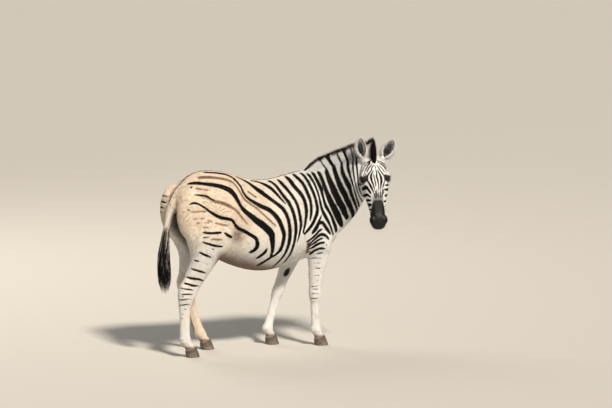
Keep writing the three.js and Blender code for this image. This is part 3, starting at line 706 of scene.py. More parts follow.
# Where each dark stripe runs, as a few places along it with its half width. On the body a place is
# how far forward, how high and the half width; the right side is seen, and the left is a close mirror.
stripes = {
    "body": [
        [(-565, 1305, 4), (-500, 1330, 5), (-460, 1343, 5)],
        [(-455, 1335, 5), (-345, 1325, 7), (-250, 1298, 6), (-205, 1235, 6), (-195, 1190, 6), (-165, 1145, 7),
         (-78, 1087, 11), (-15, 1056, 12), (45, 990, 13), (82, 895, 12), (87, 853, 11), (68, 768, 10),
         (35, 728, 7), (-5, 703, 7), (-42, 672, 8), (-78, 638, 6)],
        [(-592, 1260, 3), (-530, 1268, 7), (-395, 1247, 10), (-320, 1218, 14), (-282, 1180, 14),
         (-262, 1140, 12), (-245, 1105, 10), (-215, 1065, 12), (-125, 985, 17), (-85, 955, 19),
         (-22, 893, 19), (-10, 848, 16), (0, 766, 10), (-5, 700, 5)],
        [(-602, 1196, 2), (-550, 1190, 3.4), (-500, 1181, 5), (-465, 1160, 4), (-440, 1148, 2)],
        [(-640, 1127, 4), (-597, 1138, 5), (-540, 1114, 5), (-483, 1070, 6), (-415, 1028, 9), (-333, 1008, 8),
         (-308, 985, 7), (-280, 946, 9), (-218, 912, 9), (-145, 866, 9), (-128, 840, 9), (-122, 805, 11),
         (-134, 776, 10), (-156, 759, 8), (-178, 752, 4)],
        [(-45, 782, 4), (-60, 745, 9), (-110, 700, 6)],
        [(-190, 1290, 5), (-120, 1250, 7), (-83, 1215, 10), (-43, 1180, 13), (25, 1122, 10), (98, 1055, 11),
         (130, 974, 10), (138, 872, 11), (130, 790, 10), (108, 715, 7),
         (78, 658, 6), (52, 618, 4)],
        [(-80, 1255, 4), (-5, 1238, 6), (51, 1200, 10), (90, 1140, 7), (128, 1086, 2)],
        [(-20, 1258, 3), (60, 1250, 5), (94, 1225, 8), (120, 1158, 9), (154, 1097, 10), (180, 1012, 10),
         (190, 913, 10), (180, 818, 8), (168, 745, 7),
         (152, 690, 6), (132, 640, 4)],
        [(145, 1258, 8), (155, 1220, 10), (190, 1150, 9), (219, 1083, 9), (233, 992, 9), (236, 940, 8),
         (228, 894, 7), (217, 845, 5), (204, 805, 2)],
        [(215, 1278, 9), (225, 1240, 12), (235, 1204, 12), (280, 1125, 11), (290, 1034, 11), (272, 948, 7),
         (251, 862, 4)],
        [(280, 1290, 5), (284, 1270, 10), (310, 1219, 10), (325, 1154, 11), (338, 1089, 9), (331, 1011, 9),
         (314, 956, 5)],
        [(336, 1290, 5), (349, 1268, 9), (375, 1167, 10), (389, 1102, 10), (392, 1029, 11), (364, 969, 10),
         (323, 917, 9), (279, 876, 7), (260, 855, 4)],
        [(390, 1284, 11), (406, 1224, 8), (423, 1141, 6), (432, 1050, 8), (448, 1003, 10), (479, 951, 10),
         (510, 907, 7), (546, 842, 6), (562, 821, 4)],
        [(440, 1287, 9), (445, 1232, 11), (461, 1164, 12), (466, 1107, 9), (479, 1050, 11), (518, 988, 10),
         (554, 920, 12), (588, 863, 14), (600, 847, 12)],
        [(482, 1294, 9), (487, 1237, 10), (500, 1167, 11), (526, 1089, 17), (560, 1019, 21), (598, 959, 22),
         (640, 900, 14), (660, 870, 6)],
        [(539, 1302, 8), (536, 1258, 10), (557, 1175, 15), (600, 1076, 18), (630, 1030, 18), (660, 980, 14),
         (686, 935, 8)],
        [(432, 995, 2), (406, 954, 7), (382, 912, 12), (346, 873, 10), (333, 860, 5)],
        [(396, 935, 7), (434, 930, 10), (471, 889, 10), (507, 850, 8), (526, 834, 4)],
        [(437, 883, 4), (406, 876, 7), (367, 844, 7), (325, 815, 6), (285, 800, 4)],
        [(497, 800, 6), (458, 837, 8), (416, 844, 8), (380, 822, 7), (341, 792, 6), (308, 765, 4)],
        [(442, 816, 5), (411, 811, 5), (360, 778, 5), (330, 762, 3), (312, 742, 3)],
        [(352, 748, 3), (330, 734, 3)], [(305, 784, 3), (322, 778, 3)], [(352, 720, 3), (338, 704, 3)],
        [(455, 782, 6), (415, 782, 6), (375, 760, 6), (345, 735, 4)],
        [(457, 737, 6), (410, 740, 6), (375, 722, 6), (355, 690, 4)],
        [(450, 706, 3), (420, 704, 3.4), (395, 697, 3)],
        [(468, 765, 4), (470, 762, 4)],
        [(-550, 925, 5), (-480, 918, 6), (-405, 920, 6)],
        [(-387, 915, 6), (-340, 885, 8), (-312, 875, 7)],
        [(-553, 857, 4), (-485, 833, 6), (-440, 820, 6), (-385, 812, 5)],
        [(-565, 780, 4), (-520, 757, 6), (-472, 735, 4)],
        [(-545, 890, 3), (-505, 889, 3)],
        [(-580, 1240, 5), (-576, 1240, 5)],
        [(-615, 1275, 4), (-610, 1250, 4)],
        [(-470, 800, 4), (-466, 799, 4)],
    ],
    "brown": [  # the faint shadow stripes between the dark ones
        [(-568, 1190, 3), (-505, 1178, 6), (-450, 1145, 7), (-378, 1124, 9), (-297, 1080, 6), (-243, 1017, 5),
         (-200, 965, 3)],
        [(-515, 1303, 5), (-435, 1305, 7), (-337, 1290, 5), (-262, 1262, 5), (-230, 1208, 5), (-195, 1138, 5),
         (-125, 1083, 5), (-50, 1010, 4), (25, 935, 4)],
        [(-150, 1190, 5), (-100, 1150, 4)], [(-560, 1232, 3), (-500, 1225, 3), (-470, 1220, 2)],
        [(-625, 1073, 3), (-565, 1073, 3), (-505, 1072, 3)], [(-648, 1090, 4), (-640, 1090, 4)],
        [(-610, 1025, 3), (-535, 1025, 3)], [(-580, 990, 3), (-500, 993, 3)],
        [(-455, 988, 4), (-400, 975, 4), (-350, 960, 3)], [(-540, 960, 3), (-510, 960, 3)],
        [(-500, 1010, 4), (-480, 1000, 4)], [(-490, 876, 4), (-450, 870, 4), (-400, 866, 4)],
        [(310, 800, 12), (318, 750, 12), (330, 706, 6)],
    ],
    # on the neck: how far along its stations, how far from crest (0) to throat (1), half width in stations
    "neck": [
        [(2.77, 0, 0.05), (2.79, 0.1, 0.06), (2.7, 0.2, 0.14), (2.53, 0.3, 0.19), (2.32, 0.4, 0.24),
         (2.05, 0.5, 0.24), (1.85, 0.6, 0.19), (1.72, 0.7, 0.16), (1.66, 0.8, 0.12)],
        [(3.27, 0, 0.08), (3.31, 0.2, 0.14), (3.14, 0.4, 0.21), (2.98, 0.5, 0.28), (2.72, 0.6, 0.34),
         (2.42, 0.7, 0.3), (2.2, 0.8, 0.2), (1.95, 0.95, 0.12)],
        [(3.81, 0, 0.05), (3.91, 0.2, 0.11), (3.81, 0.4, 0.19), (3.78, 0.5, 0.23), (3.7, 0.6, 0.32),
         (3.35, 0.68, 0.25), (3.0, 0.78, 0.2), (2.7, 0.88, 0.15), (2.4, 1, 0.1)],
        [(4.24, 0, 0.06), (4.46, 0.2, 0.12), (4.52, 0.4, 0.18), (4.52, 0.5, 0.16), (4.35, 0.62, 0.15),
         (3.9, 0.72, 0.14), (3.4, 0.82, 0.14), (3.0, 0.95, 0.12)],
        [(4.7, 0, 0.03), (4.97, 0.2, 0.08), (5.12, 0.4, 0.12), (5.1, 0.5, 0.12), (4.95, 0.62, 0.12),
         (4.5, 0.74, 0.12), (4.0, 0.86, 0.12), (3.7, 1, 0.1)],
        [(4.93, 0, 0.04), (5.32, 0.2, 0.09), (5.6, 0.4, 0.12), (5.68, 0.5, 0.12), (5.6, 0.62, 0.12),
         (5.2, 0.76, 0.12), (4.8, 0.9, 0.1)],
    ],
    # on the head: degrees round from the front of the face to its left, how far along, half width
    "head": [
        [(-25, 14, 5), (-28, 25, 5), (-27, 38, 4), (-33, 50, 3), (-38, 66, 3), (-43, 82, 3), (-48, 94, 3)],
        [(-48, 96, 2.2), (-46, 108, 2.4), (-43.5, 122, 2.4), (-43, 138, 2)],
        [(-12, 38, 2), (-20, 54, 2.6), (-26, 65, 3), (-31, 78, 3), (-35, 89, 3), (-39, 104, 2.6)],
        [(-5, 48, 2), (-15, 70, 2.6), (-16, 82, 2.8), (-19, 92, 3), (-25, 106, 3.2), (-31, 119, 3.8),
         (-35, 132, 4), (-37.5, 148, 4), (-36.5, 170, 4), (-32.5, 186, 4.4), (-29, 203, 5), (-26, 219, 5),
         (-22, 236, 4), (-17.5, 259, 3)],
        [(-10, 92, 2), (-12.7, 102, 2.6), (-18, 119, 3.4), (-21.5, 132, 4.6), (-22, 149, 5.2),
         (-21, 168, 4.8), (-18.7, 186, 4), (-14.3, 213, 3), (-11.6, 240, 2.2)],
        [(-10, 118, 1.8), (-9, 148, 2.4), (-7, 165, 2.8), (-5, 192, 2.6), (-5, 218, 2)],
        [(2, 78, 2), (3, 105, 2.4), (4, 115, 3), (2.3, 143, 4), (4, 155, 4), (6, 170, 4), (6.2, 183, 3.4),
         (8, 196, 2.6), (8.7, 221, 2.6), (8.2, 252, 2)],
        [(6, 88, 1.6), (10.4, 97, 2.4), (13.7, 112, 3), (17, 125, 4), (20.3, 142, 5), (21.4, 158, 5.6),
         (22, 175, 5.4), (20.8, 188, 5), (18, 218, 3), (17.5, 240, 2.2)],
        [(9, 50, 2), (15, 68, 2.6), (17.5, 82, 2.8), (20, 92, 3), (24, 104, 3.2), (28, 116, 3.4),
         (32, 126, 3.6), (35, 133, 3.6), (37.5, 146, 3), (37.9, 158, 2.6), (36.8, 172, 2.6),
         (33.5, 190, 2.8), (30, 208, 3), (27.5, 230, 3)],
        [(20, 48, 2), (26, 64, 2.4), (31, 77, 2.8), (36, 88, 2.8), (40, 99, 2.8), (43, 111, 2.4)],
        [(33, 240, 2), (33, 268, 2)], [(37.4, 226, 2), (37.5, 240, 2)],
        [(-2, 230, 1.8), (-2, 256, 2), (0, 290, 3)], [(0, 56, 2), (3, 75, 2.2)],
        [(-28, 26, 2), (-38, 38, 2.4), (-47, 52, 2.6), (-53, 68, 2.6), (-57, 84, 2.4), (-58, 98, 2)],
        [(-40, 22, 2), (-53, 32, 2.4), (-62, 46, 2.4), (-68, 60, 2.4), (-72, 76, 2)],
        [(28, 38, 2), (38, 54, 2.4), (46, 70, 2.4), (51, 86, 2.4), (53, 100, 2)],
        [(36, 28, 2), (48, 42, 2.4), (57, 58, 2.4), (62, 76, 2.2)],
        [(17, 20, 2), (24, 29, 2.4), (32, 38, 2.6), (41, 50, 2.6), (49, 64, 2.4), (55, 80, 2)],
        [(14, 6, 2), (22, 13, 2.4), (32, 20, 2.6), (44, 29, 2.6), (55, 41, 2.4), (64, 56, 2)],
        [(-15, 4, 2), (-24, 12, 2.4), (-35, 20, 2.6), (-47, 27, 2.4), (-58, 36, 2)],
        [(-58, 92, 2), (-61, 106, 2.2), (-60, 118, 2)], [(-67, 84, 2), (-71, 98, 2.2), (-71, 112, 2)],
        [(-49, 110, 2), (-51, 124, 2.2), (-49, 136, 2)], [(50, 112, 2), (52, 126, 2.2), (50, 138, 2)],
        [(59, 96, 2), (62, 110, 2.2), (61, 122, 2)], [(68, 84, 2), (71, 98, 2.2), (71, 110, 2)],
        [(-17.5, 259, 3), (-14.5, 280, 3), (-13, 306, 3.4)],
        [(-11.6, 240, 2.2), (-8, 262, 2.4), (-6, 306, 3)],
        [(8.2, 252, 2), (7, 280, 2.4), (6, 306, 3)], [(17.5, 240, 2.2), (16.5, 265, 2.4), (15.5, 306, 3)],
        [(27.5, 230, 3), (26, 262, 2.8), (24, 306, 3.2)],
        [(-88, 118, 3), (-75, 121, 3.4), (-62, 124, 3)],
        [(-132, 196, 5), (-95, 205, 5), (-65, 214, 8), (-52, 213, 9), (-44, 221, 7), (-40, 232, 5.5),
         (-36, 246, 5.5), (-31, 268, 3.4)],
        [(-135, 240, 6), (-110, 251, 7), (-80, 261, 7), (-60, 265, 6.5), (-50, 268, 6), (-44, 276, 4.6),
         (-36, 293, 4)],
        [(-140, 285, 4), (-100, 295, 5), (-80, 300, 5.4), (-60, 305, 5.4), (-42, 311, 5), (-36, 316, 5)],
        [(-140, 318, 5), (-100, 328, 6), (-80, 335, 7), (-60, 341, 7), (-38, 344, 6)],
        [(-140, 352, 3), (-95, 362, 3.6), (-60, 374, 4), (-36, 383, 4)],
        [(132, 186, 5), (77, 194, 5), (55, 201, 4.8), (37, 208, 3.4)],
        [(136, 222, 6), (77, 226, 6.4), (55, 234, 6.2), (38, 242, 4)],
        [(138, 262, 6), (75, 269, 6.4), (55, 277, 6.2), (38, 285, 4)],
        [(140, 304, 4), (68, 313, 4.8), (50, 321, 4.8), (34, 329, 4)],
        [(138, 346, 3), (65, 352, 3.2), (45, 360, 3)],
        [(-128, 150, 4), (-106, 158, 5), (-92, 160, 4)], [(128, 140, 5), (100, 148, 6), (84, 150, 4)],
        [(126, 96, 5), (100, 104, 5), (78, 110, 3)], [(122, 52, 5), (100, 60, 5), (80, 66, 4)],
    ],
    "faint": [  # thin grey ones over the temples
        [(-88, 43, 2.6), (-72, 48, 2.6), (-58, 57, 2)], [(-86, 66, 2.6), (-70, 72, 2.6), (-58, 82, 2)],
        [(-86, 92, 2.6), (-72, 96, 2.4), (-62, 102, 2)], [(-90, 176, 3), (-75, 180, 3.4), (-60, 186, 3)],
        [(-56, 12, 2), (-48, 30, 2), (-50, 50, 2)], [(42, 18, 2.2), (52, 5, 2.2), (62, -8, 2)],
        [(45, 46, 2.2), (54, 34, 2.2), (64, 24, 2)], [(50, 74, 2.2), (58, 64, 2.2), (68, 55, 2)],
        [(52, 96, 2), (62, 86, 2.2), (72, 80, 2)],
    ],
    "behind": [  # on the left buttock: out to the left, height, half width
        [(100, 1150, 4), (140, 1156, 6), (178, 1146, 5)], [(104, 1108, 5), (146, 1112, 7), (188, 1100, 6)],
        [(112, 1068, 4), (150, 1072, 6), (190, 1062, 5)], [(120, 1034, 3), (156, 1036, 4), (188, 1030, 3)],
    ],
    # on the legs: along the body, height, half width, as they lie on the right leg
    "hind": [
        [(-588, 716, 4), (-572, 714, 5), (-555, 711, 4)],
        [(-553, 708, 1.2), (-515, 696, 1.4), (-480, 676, 1.2)],
        [(-606, 657, 4), (-575, 645, 6), (-545, 635, 6), (-515, 625, 5), (-490, 613, 1.6)],
        [(-636, 594, 5), (-600, 585, 7), (-565, 580, 7), (-540, 572, 6), (-515, 562, 4), (-500, 552, 2)],
        [(-656, 551, 5), (-630, 545, 6), (-605, 535, 6.5), (-570, 528, 5), (-545, 525, 2), (-520, 515, 1.4)],
        [(-684, 518, 3.4), (-650, 511, 4.2), (-615, 505, 4.2), (-585, 497, 2.4)],
        [(-684, 470, 2.4), (-650, 473, 4.2), (-620, 470, 4), (-588, 467, 2.6)],
        [(-692, 457, 3), (-668, 457, 2)],
        [(-690, 430, 3), (-660, 433, 3.4), (-640, 436, 3), (-620, 434, 2.6), (-600, 430, 1.6)],
        [(-686, 389, 3.4), (-655, 395, 3.4), (-635, 398, 3), (-612, 394, 2.4)],
        [(-668, 355, 1.6), (-650, 360, 2), (-633, 362, 1.6)],
        [(-676, 324, 1.2), (-658, 323, 1.4), (-640, 323, 1)],
        [(-671, 293, 2.4), (-664, 293, 2.4)], [(-680, 131, 4), (-665, 133, 2)],
    ],
    "fore": [
        [(360, 658, 2), (385, 668, 2.2), (420, 664, 2.2), (465, 660, 1.8)],
        [(378, 627, 1.6), (420, 627, 2.2), (442, 624, 1.6)],
        [(393, 590, 1.6), (420, 588, 2.8), (442, 587, 1.6)],
        [(398, 557, 0.9), (440, 557, 1)], [(388, 533, 1.2), (420, 535, 1.8), (444, 530, 1.2)],
        [(375, 512, 2.4), (410, 512, 2)], [(405, 485, 1.6), (414, 495, 2), (426, 500, 1.4)],
        [(372, 481, 1.8), (396, 474, 1.2)], [(378, 450, 3), (400, 452, 2.8), (430, 457, 1.6)],
        [(384, 430, 2.2), (410, 430, 2.6), (435, 427, 1.4)],
        [(379, 397, 2.6), (410, 398, 2.4), (430, 393, 1)],
        [(379, 360, 2.8), (400, 360, 2.8), (436, 362, 1.2)], [(386, 336, 1), (410, 334, 1)],
    ],
}

skinTree = treeOf(skinMesh)
headTree = treeOf(newMesh("headOnly", *gather(headParts(coat["head"])[:1])))
legSign = {name: (-1 if name.endswith("right") else 1) for name in legRowsOf}


def rowsOf(stroke, steps=4):  # more places between those of a stroke
    return smoothed(stroke, steps) if len(stroke) > 2 else np.array(stroke, float)


def landed(start, way, tree=skinTree):  # where a line from the start first meets the skin
    place, _, _, _ = tree.ray_cast(Vector(start), Vector(way))
    return None if place is None else np.array(place)


def tapered(path, reach):  # a stripe thins out towards both of its ends
    run = np.append(0, np.cumsum(np.linalg.norm(np.diff(path[:, :3], axis=0), axis=1))) * 1000
    path[:, 3] *= 0.3 + 0.7 * smoothstep(0, reach, run) * smoothstep(0, reach, run[-1] - run)
    return path


def laid(path, reach):  # widths seen square on from the side become widths along the sloping skin
    if len(path) < 3:
        return path
    path = np.array(path)
    normals = np.array([skinTree.find_nearest(Vector(p[:3]))[1] for p in path])
    along = unit(np.gradient(path[:, :3], axis=0) + 1e-9)
    across = unit(np.cross(normals, along))
    seen = unit(along[:, [0, 2]] + 1e-9)
    share = abs(across[:, 0] * -seen[:, 1] + across[:, 2] * seen[:, 0])
    path[:, 3] /= np.clip(share, 0.6, 1)
    return tapered(path, reach)


def bodyPath(stroke, side):
    path = []
    for x, z, half in rowsOf(stroke):
        shift = 0 if side < 0 else 26 * smoothstep(430, 560, x) * smoothstep(1000, 1150, z)
        place = landed(((x + shift) / 1000, side * 0.305, z / 1000), (0, -side, 0))
        if place is not None and side * place[1] > 0.02:
            path.append((*place, half))
    return laid(path, 14)


def rearPath(stroke):
    places = [(landed((-0.9, y / 1000, z / 1000), (1, 0, 0)), half) for y, z, half in smoothed(stroke, 4)]
    return tapered(np.array([(*place, half) for place, half in places]), 14)


def axisOf(name, z, k=0):  # where the middle of a leg is at some height
    rows = legRowsOf[name]
    return np.interp(z, rows[::-1, 2], rows[::-1, k])


def legPath(name, stroke):  # drawn on the right leg, and moved with the other leg's own stance
    twin, side = name.replace("left", "right"), legSign[name]
    path = []
    for x, z, half in rowsOf(stroke):
        x = x + axisOf(name, z) - axisOf(twin, z)
        middle = axisOf(name, z, 1)
        place = landed((x / 1000, side * 0.32, z / 1000), (0, -side, 0))
        if place is None or abs(place[1] * 1000 - middle) > 130:
            place = np.array(skinTree.find_nearest(Vector((x, middle, z)) / 1000)[0])
        path.append((*place, half))
    return laid(path, 12)


def neckPath(stroke, side):
    rings = loft(neckRows, 96, coat["neck"])
    step, columns = neck["steps"], rings.shape[1]

    def placeAt(u, v):  # u in stations along the neck, v from the crest, 0, to the throat, 1
        ring = np.clip(u, 0, (len(rings) - 1) / step) * step
        low = int(min(ring, len(rings) - 2))
        angle = (90 - side * 180 * v) % 360 / 360 * columns
        k = int(angle) % columns
        a, b = (r[k] + (r[(k + 1) % columns] - r[k]) * (angle - int(angle)) for r in rings[low:low + 2])
        return a + (b - a) * (ring - low)

    rows = smoothed(stroke, 5)
    places = np.array([placeAt(u, v) for u, v, _ in rows])
    tangents = unit(np.gradient(places, axis=0))
    path = []
    for (u, v, half), place, tangent in zip(rows, places, tangents):
        reach = (placeAt(u + half, v) - placeAt(u - half, v)) / 2
        wide = np.linalg.norm(reach - tangent * (reach @ tangent)) * 1000
        near, _, _, _ = skinTree.find_nearest(Vector(place))
        path.append((*near, wide))
    return path


def headPath(stroke):
    path = []
    for turned, along, half in rowsOf(stroke, 3):
        t = math.radians(turned)
        middle = onHead([along, 0, -20])
        out = headTurn @ np.array((0, math.sin(t), math.cos(t)))
        place = landed(middle + out * 0.17, -out, headTree)
        if place is not None:
            near, _, _, _ = skinTree.find_nearest(Vector(place))
            path.append((*near, half))
    return tapered(np.array(path), 9) if len(path) > 2 else path


def fieldOf(points, paths):  # millimetres to the nearest stripe's edge, below zero inside a stripe
    field = np.full(len(points), 60.0)
    for path in paths:
        if len(path) < 2:
            continue
        path = np.array(path)
        low, high = path[:, :3].min(0) - 0.05, path[:, :3].max(0) + 0.05
        near = np.nonzero(((points > low) & (points < high)).all(1))[0]
        at, best = points[near], np.full(len(near), 60.0)
        for a, b in zip(path[:-1], path[1:]):
            way = b[:3] - a[:3]
            t = np.clip((at - a[:3]) @ way / max(way @ way, 1e-12), 0, 1)
            gap = np.linalg.norm(at - a[:3] - t[:, None] * way, axis=1) * 1000
            best = np.minimum(best, gap - (a[3] + (b[3] - a[3]) * t))
        field[near] = np.minimum(field[near], best)
    return field


def widened(stroke, share, extra):
    return [(a, b, half * share + extra) for a, b, half in stroke]


# What the other markings are made of. Turns are degrees from the middle of the face. Lengths on the
# head are millimetres from between the ears, and those on the body are metres.
markings = {
    # from the half width of a stroke to that of its stripe: times a share, plus so many millimetres
    "full": {"body": (1.38, 0.9), "neck": (1.12, 0), "leg": (1.25, 0.5), "brown": (1.3, 1)},
    "muzzle": {"edge": 398, "nose": 84, "turns": (57, 17)},  # the black begins nearer the eyes on the nose
    "noseShade": {"dark": 0.8, "along": (250, 325), "turns": (46, 14)},
    "eyePatch": {"at": (0, -10, 9), "half": (31, 33, 27)},  # millimetres from the eye
    # painted shade: a brown patch in the hollow of the flank, in front of the stifle
    "flank": {"x": -0.275, "z": 0.885, "half": (0.045, 0.06), "dark": 0.85},
    # painted shade: the lower belly darkened where it turns under, below an edge set at each place along the
    # body
    "belly": {
        "x": (-0.40, -0.28, -0.1, 0.1, 0.25), "edge": (0.80, 0.76, 0.70, 0.66, 0.63),
        "soft": 0.08, "dark": 0.95,
    },
    # the dark bare skin under the tail, widened into painted shade over the inner buttocks between the thighs
    "tailSkinAndShade": {"wide": 0.125, "high": 0.93, "narrows": 0.25, "dark": 0.97},
    "chestnut": {"ahead": -6, "high": 533, "half": (23, 34)},  # millimetres, ahead of the leg's middle
}

full = markings["full"]
fuller = [widened(stroke, *full["body"]) for stroke in stripes["body"]]
blackPaths = [bodyPath(stroke, side) for stroke in fuller for side in (-1, 1)]
blackPaths += [
    neckPath(widened(stroke, *full["neck"]), side) for stroke in stripes["neck"] for side in (-1, 1)]
blackPaths += [headPath([(a, b, h * (1.42 + 0.05 * h)) for a, b, h in stroke]) for stroke in stripes["head"]]
blackPaths += [headPath(stroke) for stroke in stripes["faint"]]
blackPaths += [rearPath(stroke) for stroke in stripes["behind"]]
blackPaths += [legPath(name, widened(stroke, *full["leg"])) for name in legRowsOf
               for stroke in stripes["fore" if name.startswith("fore") else "hind"]]
brownPaths = [
    bodyPath(widened(stroke, *full["brown"]), side) for stroke in stripes["brown"] for side in (-1, 1)]


def markingsAt(points):  # every marking of the coat at some places on the skin
    at = inHead(points)
    onHeadShare = headWeight(points, -20, 20)
    mark = fieldOf(points, blackPaths)
    x, y, z = points.T
    rear = x * 1000 - np.interp(z * 1000, tailRows[::-1, 2], tailRows[::-1, 0])
    turned = np.degrees(np.arctan2(abs(at[:, 1]), at[:, 2] + 20))
    muzzle = markings["muzzle"]
    muzzleEdge = muzzle["edge"] - muzzle["nose"] * smoothstep(*muzzle["turns"], turned)
    isHead = onHeadShare > 0
    dark = (muzzleEdge - at[:, 0]) * isHead + 60 * ~isHead
    bare = isHead * (1 - smoothstep(-9, 20, dark))
    for side in (-1, 1):  # the dark skin round each eye
        d = at - np.array(head["eye"]) * (1, side, 1)
        out, ahead, up = eyeAxes(side)
        q = openingOf(d @ ahead, d @ up) + 9 * (d @ out < -26)
        middle = np.array(markings["eyePatch"]["at"]) * (1, side, 1)
        patch = np.linalg.norm((d - middle) / markings["eyePatch"]["half"], axis=1)
        bare = np.maximum(bare, np.maximum(1 - smoothstep(1.6, 2.1, q), 1 - smoothstep(0.86, 1.12, patch)))
    brown = np.exp(-np.clip(fieldOf(points, brownPaths) + 3, 0, None) ** 2 / 16)
    nose = markings["noseShade"]
    nose = nose["dark"] * isHead * smoothstep(*nose["along"], at[:, 0]) * smoothstep(*nose["turns"], turned)
    bare = np.maximum(bare, nose)
    flankShade, belly = markings["flank"], markings["belly"]
    wide, tall = flankShade["half"]
    # painted shade in the hollow of the flank, added to the brown value
    flank = np.exp(-((x - flankShade["x"]) / wide) ** 2 - ((z - flankShade["z"]) / tall) ** 2) * (abs(y) > 0.12)
    # painted shade on the lower belly, added to the brown value
    edge = np.interp(x, belly["x"], belly["edge"])
    shaded = belly["dark"] * smoothstep(edge, edge - belly["soft"], z)
    shaded = shaded * smoothstep(-0.45, -0.38, x) * smoothstep(0.27, 0.1, x)
    shaded = shaded * (z > 0.55)
    brown = np.maximum(brown, np.maximum(flankShade["dark"] * flank, shaded))
    # dark bare skin under the tail, spread into painted shade over the inner sides of the buttocks and thighs
    tailward = markings["tailSkinAndShade"]
    reach = tailward["wide"] - tailward["narrows"] * abs(z - tailward["high"])
    under = smoothstep(reach + 0.02, reach - 0.05, abs(y)) * smoothstep(-0.36, -0.46, x) * (rear > 34)
    under = tailward["dark"] * under * smoothstep(0.56, 0.80, z) * smoothstep(1.20, 1.12, z)
    bare = np.maximum(bare, under)
    keel = smoothstep(0.03, 0.012, abs(y)) * smoothstep(-0.45, -0.3, x)  # a dark line along the belly
    keel = keel * smoothstep(0.5, 0.3, x) * (z < 0.68)
    mark = np.minimum(mark, np.where(keel > 0.4, 8 - 16 * keel, 60))
    spine = (abs(y) < 0.030) & (x > -0.6) & (x < 0.36) & (z > 1.15)
    mark = np.minimum(mark, np.where(spine, abs(y) * 1000 - 9, 60))
    dock = (x < -0.60) & (abs(y) < 0.045) & (rear < 30)
    line = abs(y) * 1000 - 5.5 + 0.35 * np.clip(rear + 22, 0, None)  # down the outside of the dock
    bars = 5 + 4 * np.cos(z * 1000 / 34 * math.pi) + 0.5 * np.clip(rear + 14, 0, None)
    mark = np.minimum(mark, np.where(dock, np.minimum(line, bars), 60))
    for name, rows in legRowsOf.items():  # pasterns, and the narrow dark line down one hind cannon
        middle = np.array([np.interp(z * 1000, rows[::-1, 2], rows[::-1, k]) for k in (0, 1)]).T
        off = points[:, :2] * 1000 - middle
        leg = (np.hypot(*off.T) < 75) & (z < 0.5)
        foot = leg * np.exp(-((z - 0.066) / 0.016) ** 2)
        brown = np.maximum(brown, foot)
        back = np.degrees(np.arctan2(abs(off[:, 1]), -off[:, 0]))
        if name == "hindleg_left":
            line = back - 9 + 40 * (z < 0.14) + 40 * (z > 0.34)
            mark = np.minimum(mark, np.where(leg, line * 0.5, 60))
            dusty = smoothstep(110, 90, np.hypot(*off.T)) * smoothstep(0.62, 0.42, z)
        if name.startswith("fore"):  # the chestnut, a bare horny oval on the inner side
            inner = (-legSign[name] * off[:, 1] > 8) & (np.hypot(*off.T) < 120)
            horny = markings["chestnut"]
            wide, tall = horny["half"]
            oval = np.hypot((off[:, 0] - horny["ahead"]) / wide, (z * 1000 - horny["high"]) / tall)
            bare = np.maximum(bare, (1 - smoothstep(0.75, 1.15, oval)) * inner)
    warm = 0.12 + 0.75 * smoothstep(0.5, -0.35, x) * smoothstep(0.72, 1.05, z)
    warm = warm + 0.12 * smoothstep(0.5, -0.4, x)
    warm = warm * (1 - 0.7 * onHeadShare) + 0.6 * dusty
    hang = np.clip(smoothstep(0.80, 0.62, z) + onHeadShare * (at[:, 0] > 0), 0, 1)
    # brown holds the shadow stripes and the painted shade of the flank and belly; bare holds the dark bare
    # skin and the painted shade beside the tail
    return {"mark": mark, "brown": brown * (1 - bare), "bare": bare, "warm": warm, "hang": hang}


def giveValues(mesh, values, domain="POINT"):
    for name, numbers in values.items():
        layer = mesh.attributes.new(name, "FLOAT", domain)
        layer.data.foreach_set("value", np.asarray(numbers, np.float32))


giveValues(skinMesh, markingsAt(coordsOf(skinMesh)))
print("markings laid:", len(blackPaths), "dark stripes")

# Every hide and coat piece takes this one material, as they carry the same markings.
hide = {
    # brown paints the shadow stripes and the painted shade of the flank and belly; bare paints dark bare skin
    # and the painted shade beside the tail
    "white": "#ece5da", "cool": "#e4e4e3", "tan": "#e3d3be", "black": "#060607", "rust": "#130e0c",
    "brown": "#735440", "bare": "#0f0f11", "hairMm": 0.9, "clumpMm": 9.0, "edgeMm": 3.2,
}


def smoothShaded(mesh):
    mesh.polygons.foreach_set("use_smooth", np.ones(len(mesh.polygons), bool))


def mixed(tree, share, first, second):
    made = addNode(tree, "ShaderNodeMix", {"Factor": share}, data_type="RGBA", blend_type="MIX")
    for socket, value in zip([made.inputs[6], made.inputs[7]], [first, second]):
        if isinstance(value, bpy.types.NodeSocket):
            tree.links.new(value, socket)
        else:
            socket.default_value = linear(value)
    return made.outputs[2]


def counted(tree, operation, *values, clamp=False):  # arithmetic on plain numbers
    made = addNode(tree, "ShaderNodeMath", operation=operation, use_clamp=clamp)
    for socket, value in zip(made.inputs, values):
        if isinstance(value, bpy.types.NodeSocket):
            tree.links.new(value, socket)
        else:
            socket.default_value = value
    return made.outputs[0]


def ranged(tree, value, low, high, start=0.0, end=1.0):
    made = addNode(tree, "ShaderNodeMapRange", {
        "Value": value, "From Min": low, "From Max": high, "To Min": start, "To Max": end,
    }, interpolation_type="SMOOTHSTEP")
    return made.outputs["Result"]


def valueOf(tree, name):
    return addNode(tree, "ShaderNodeAttribute", attribute_name=name).outputs["Fac"]


def grainOf(tree, scales, detail=2.0, roughness=0.6):  # noise whose grain has a size in mm along each axis
    where = addNode(tree, "ShaderNodeNewGeometry").outputs["Position"]
    stretched = addNode(tree, "ShaderNodeMapping", {"Vector": where})
    stretched.inputs["Scale"].default_value = [1000 / mm for mm in scales]
    return addNode(tree, "ShaderNodeTexNoise", {
        "Vector": stretched.outputs[0], "Scale": 1.0, "Detail": detail, "Roughness": roughness,
    }).outputs["Fac"]


def startMaterial(name):
    made = bpy.data.materials.new(name)
    made.use_nodes = True
    return made, made.node_tree, made.node_tree.nodes["Principled BSDF"]


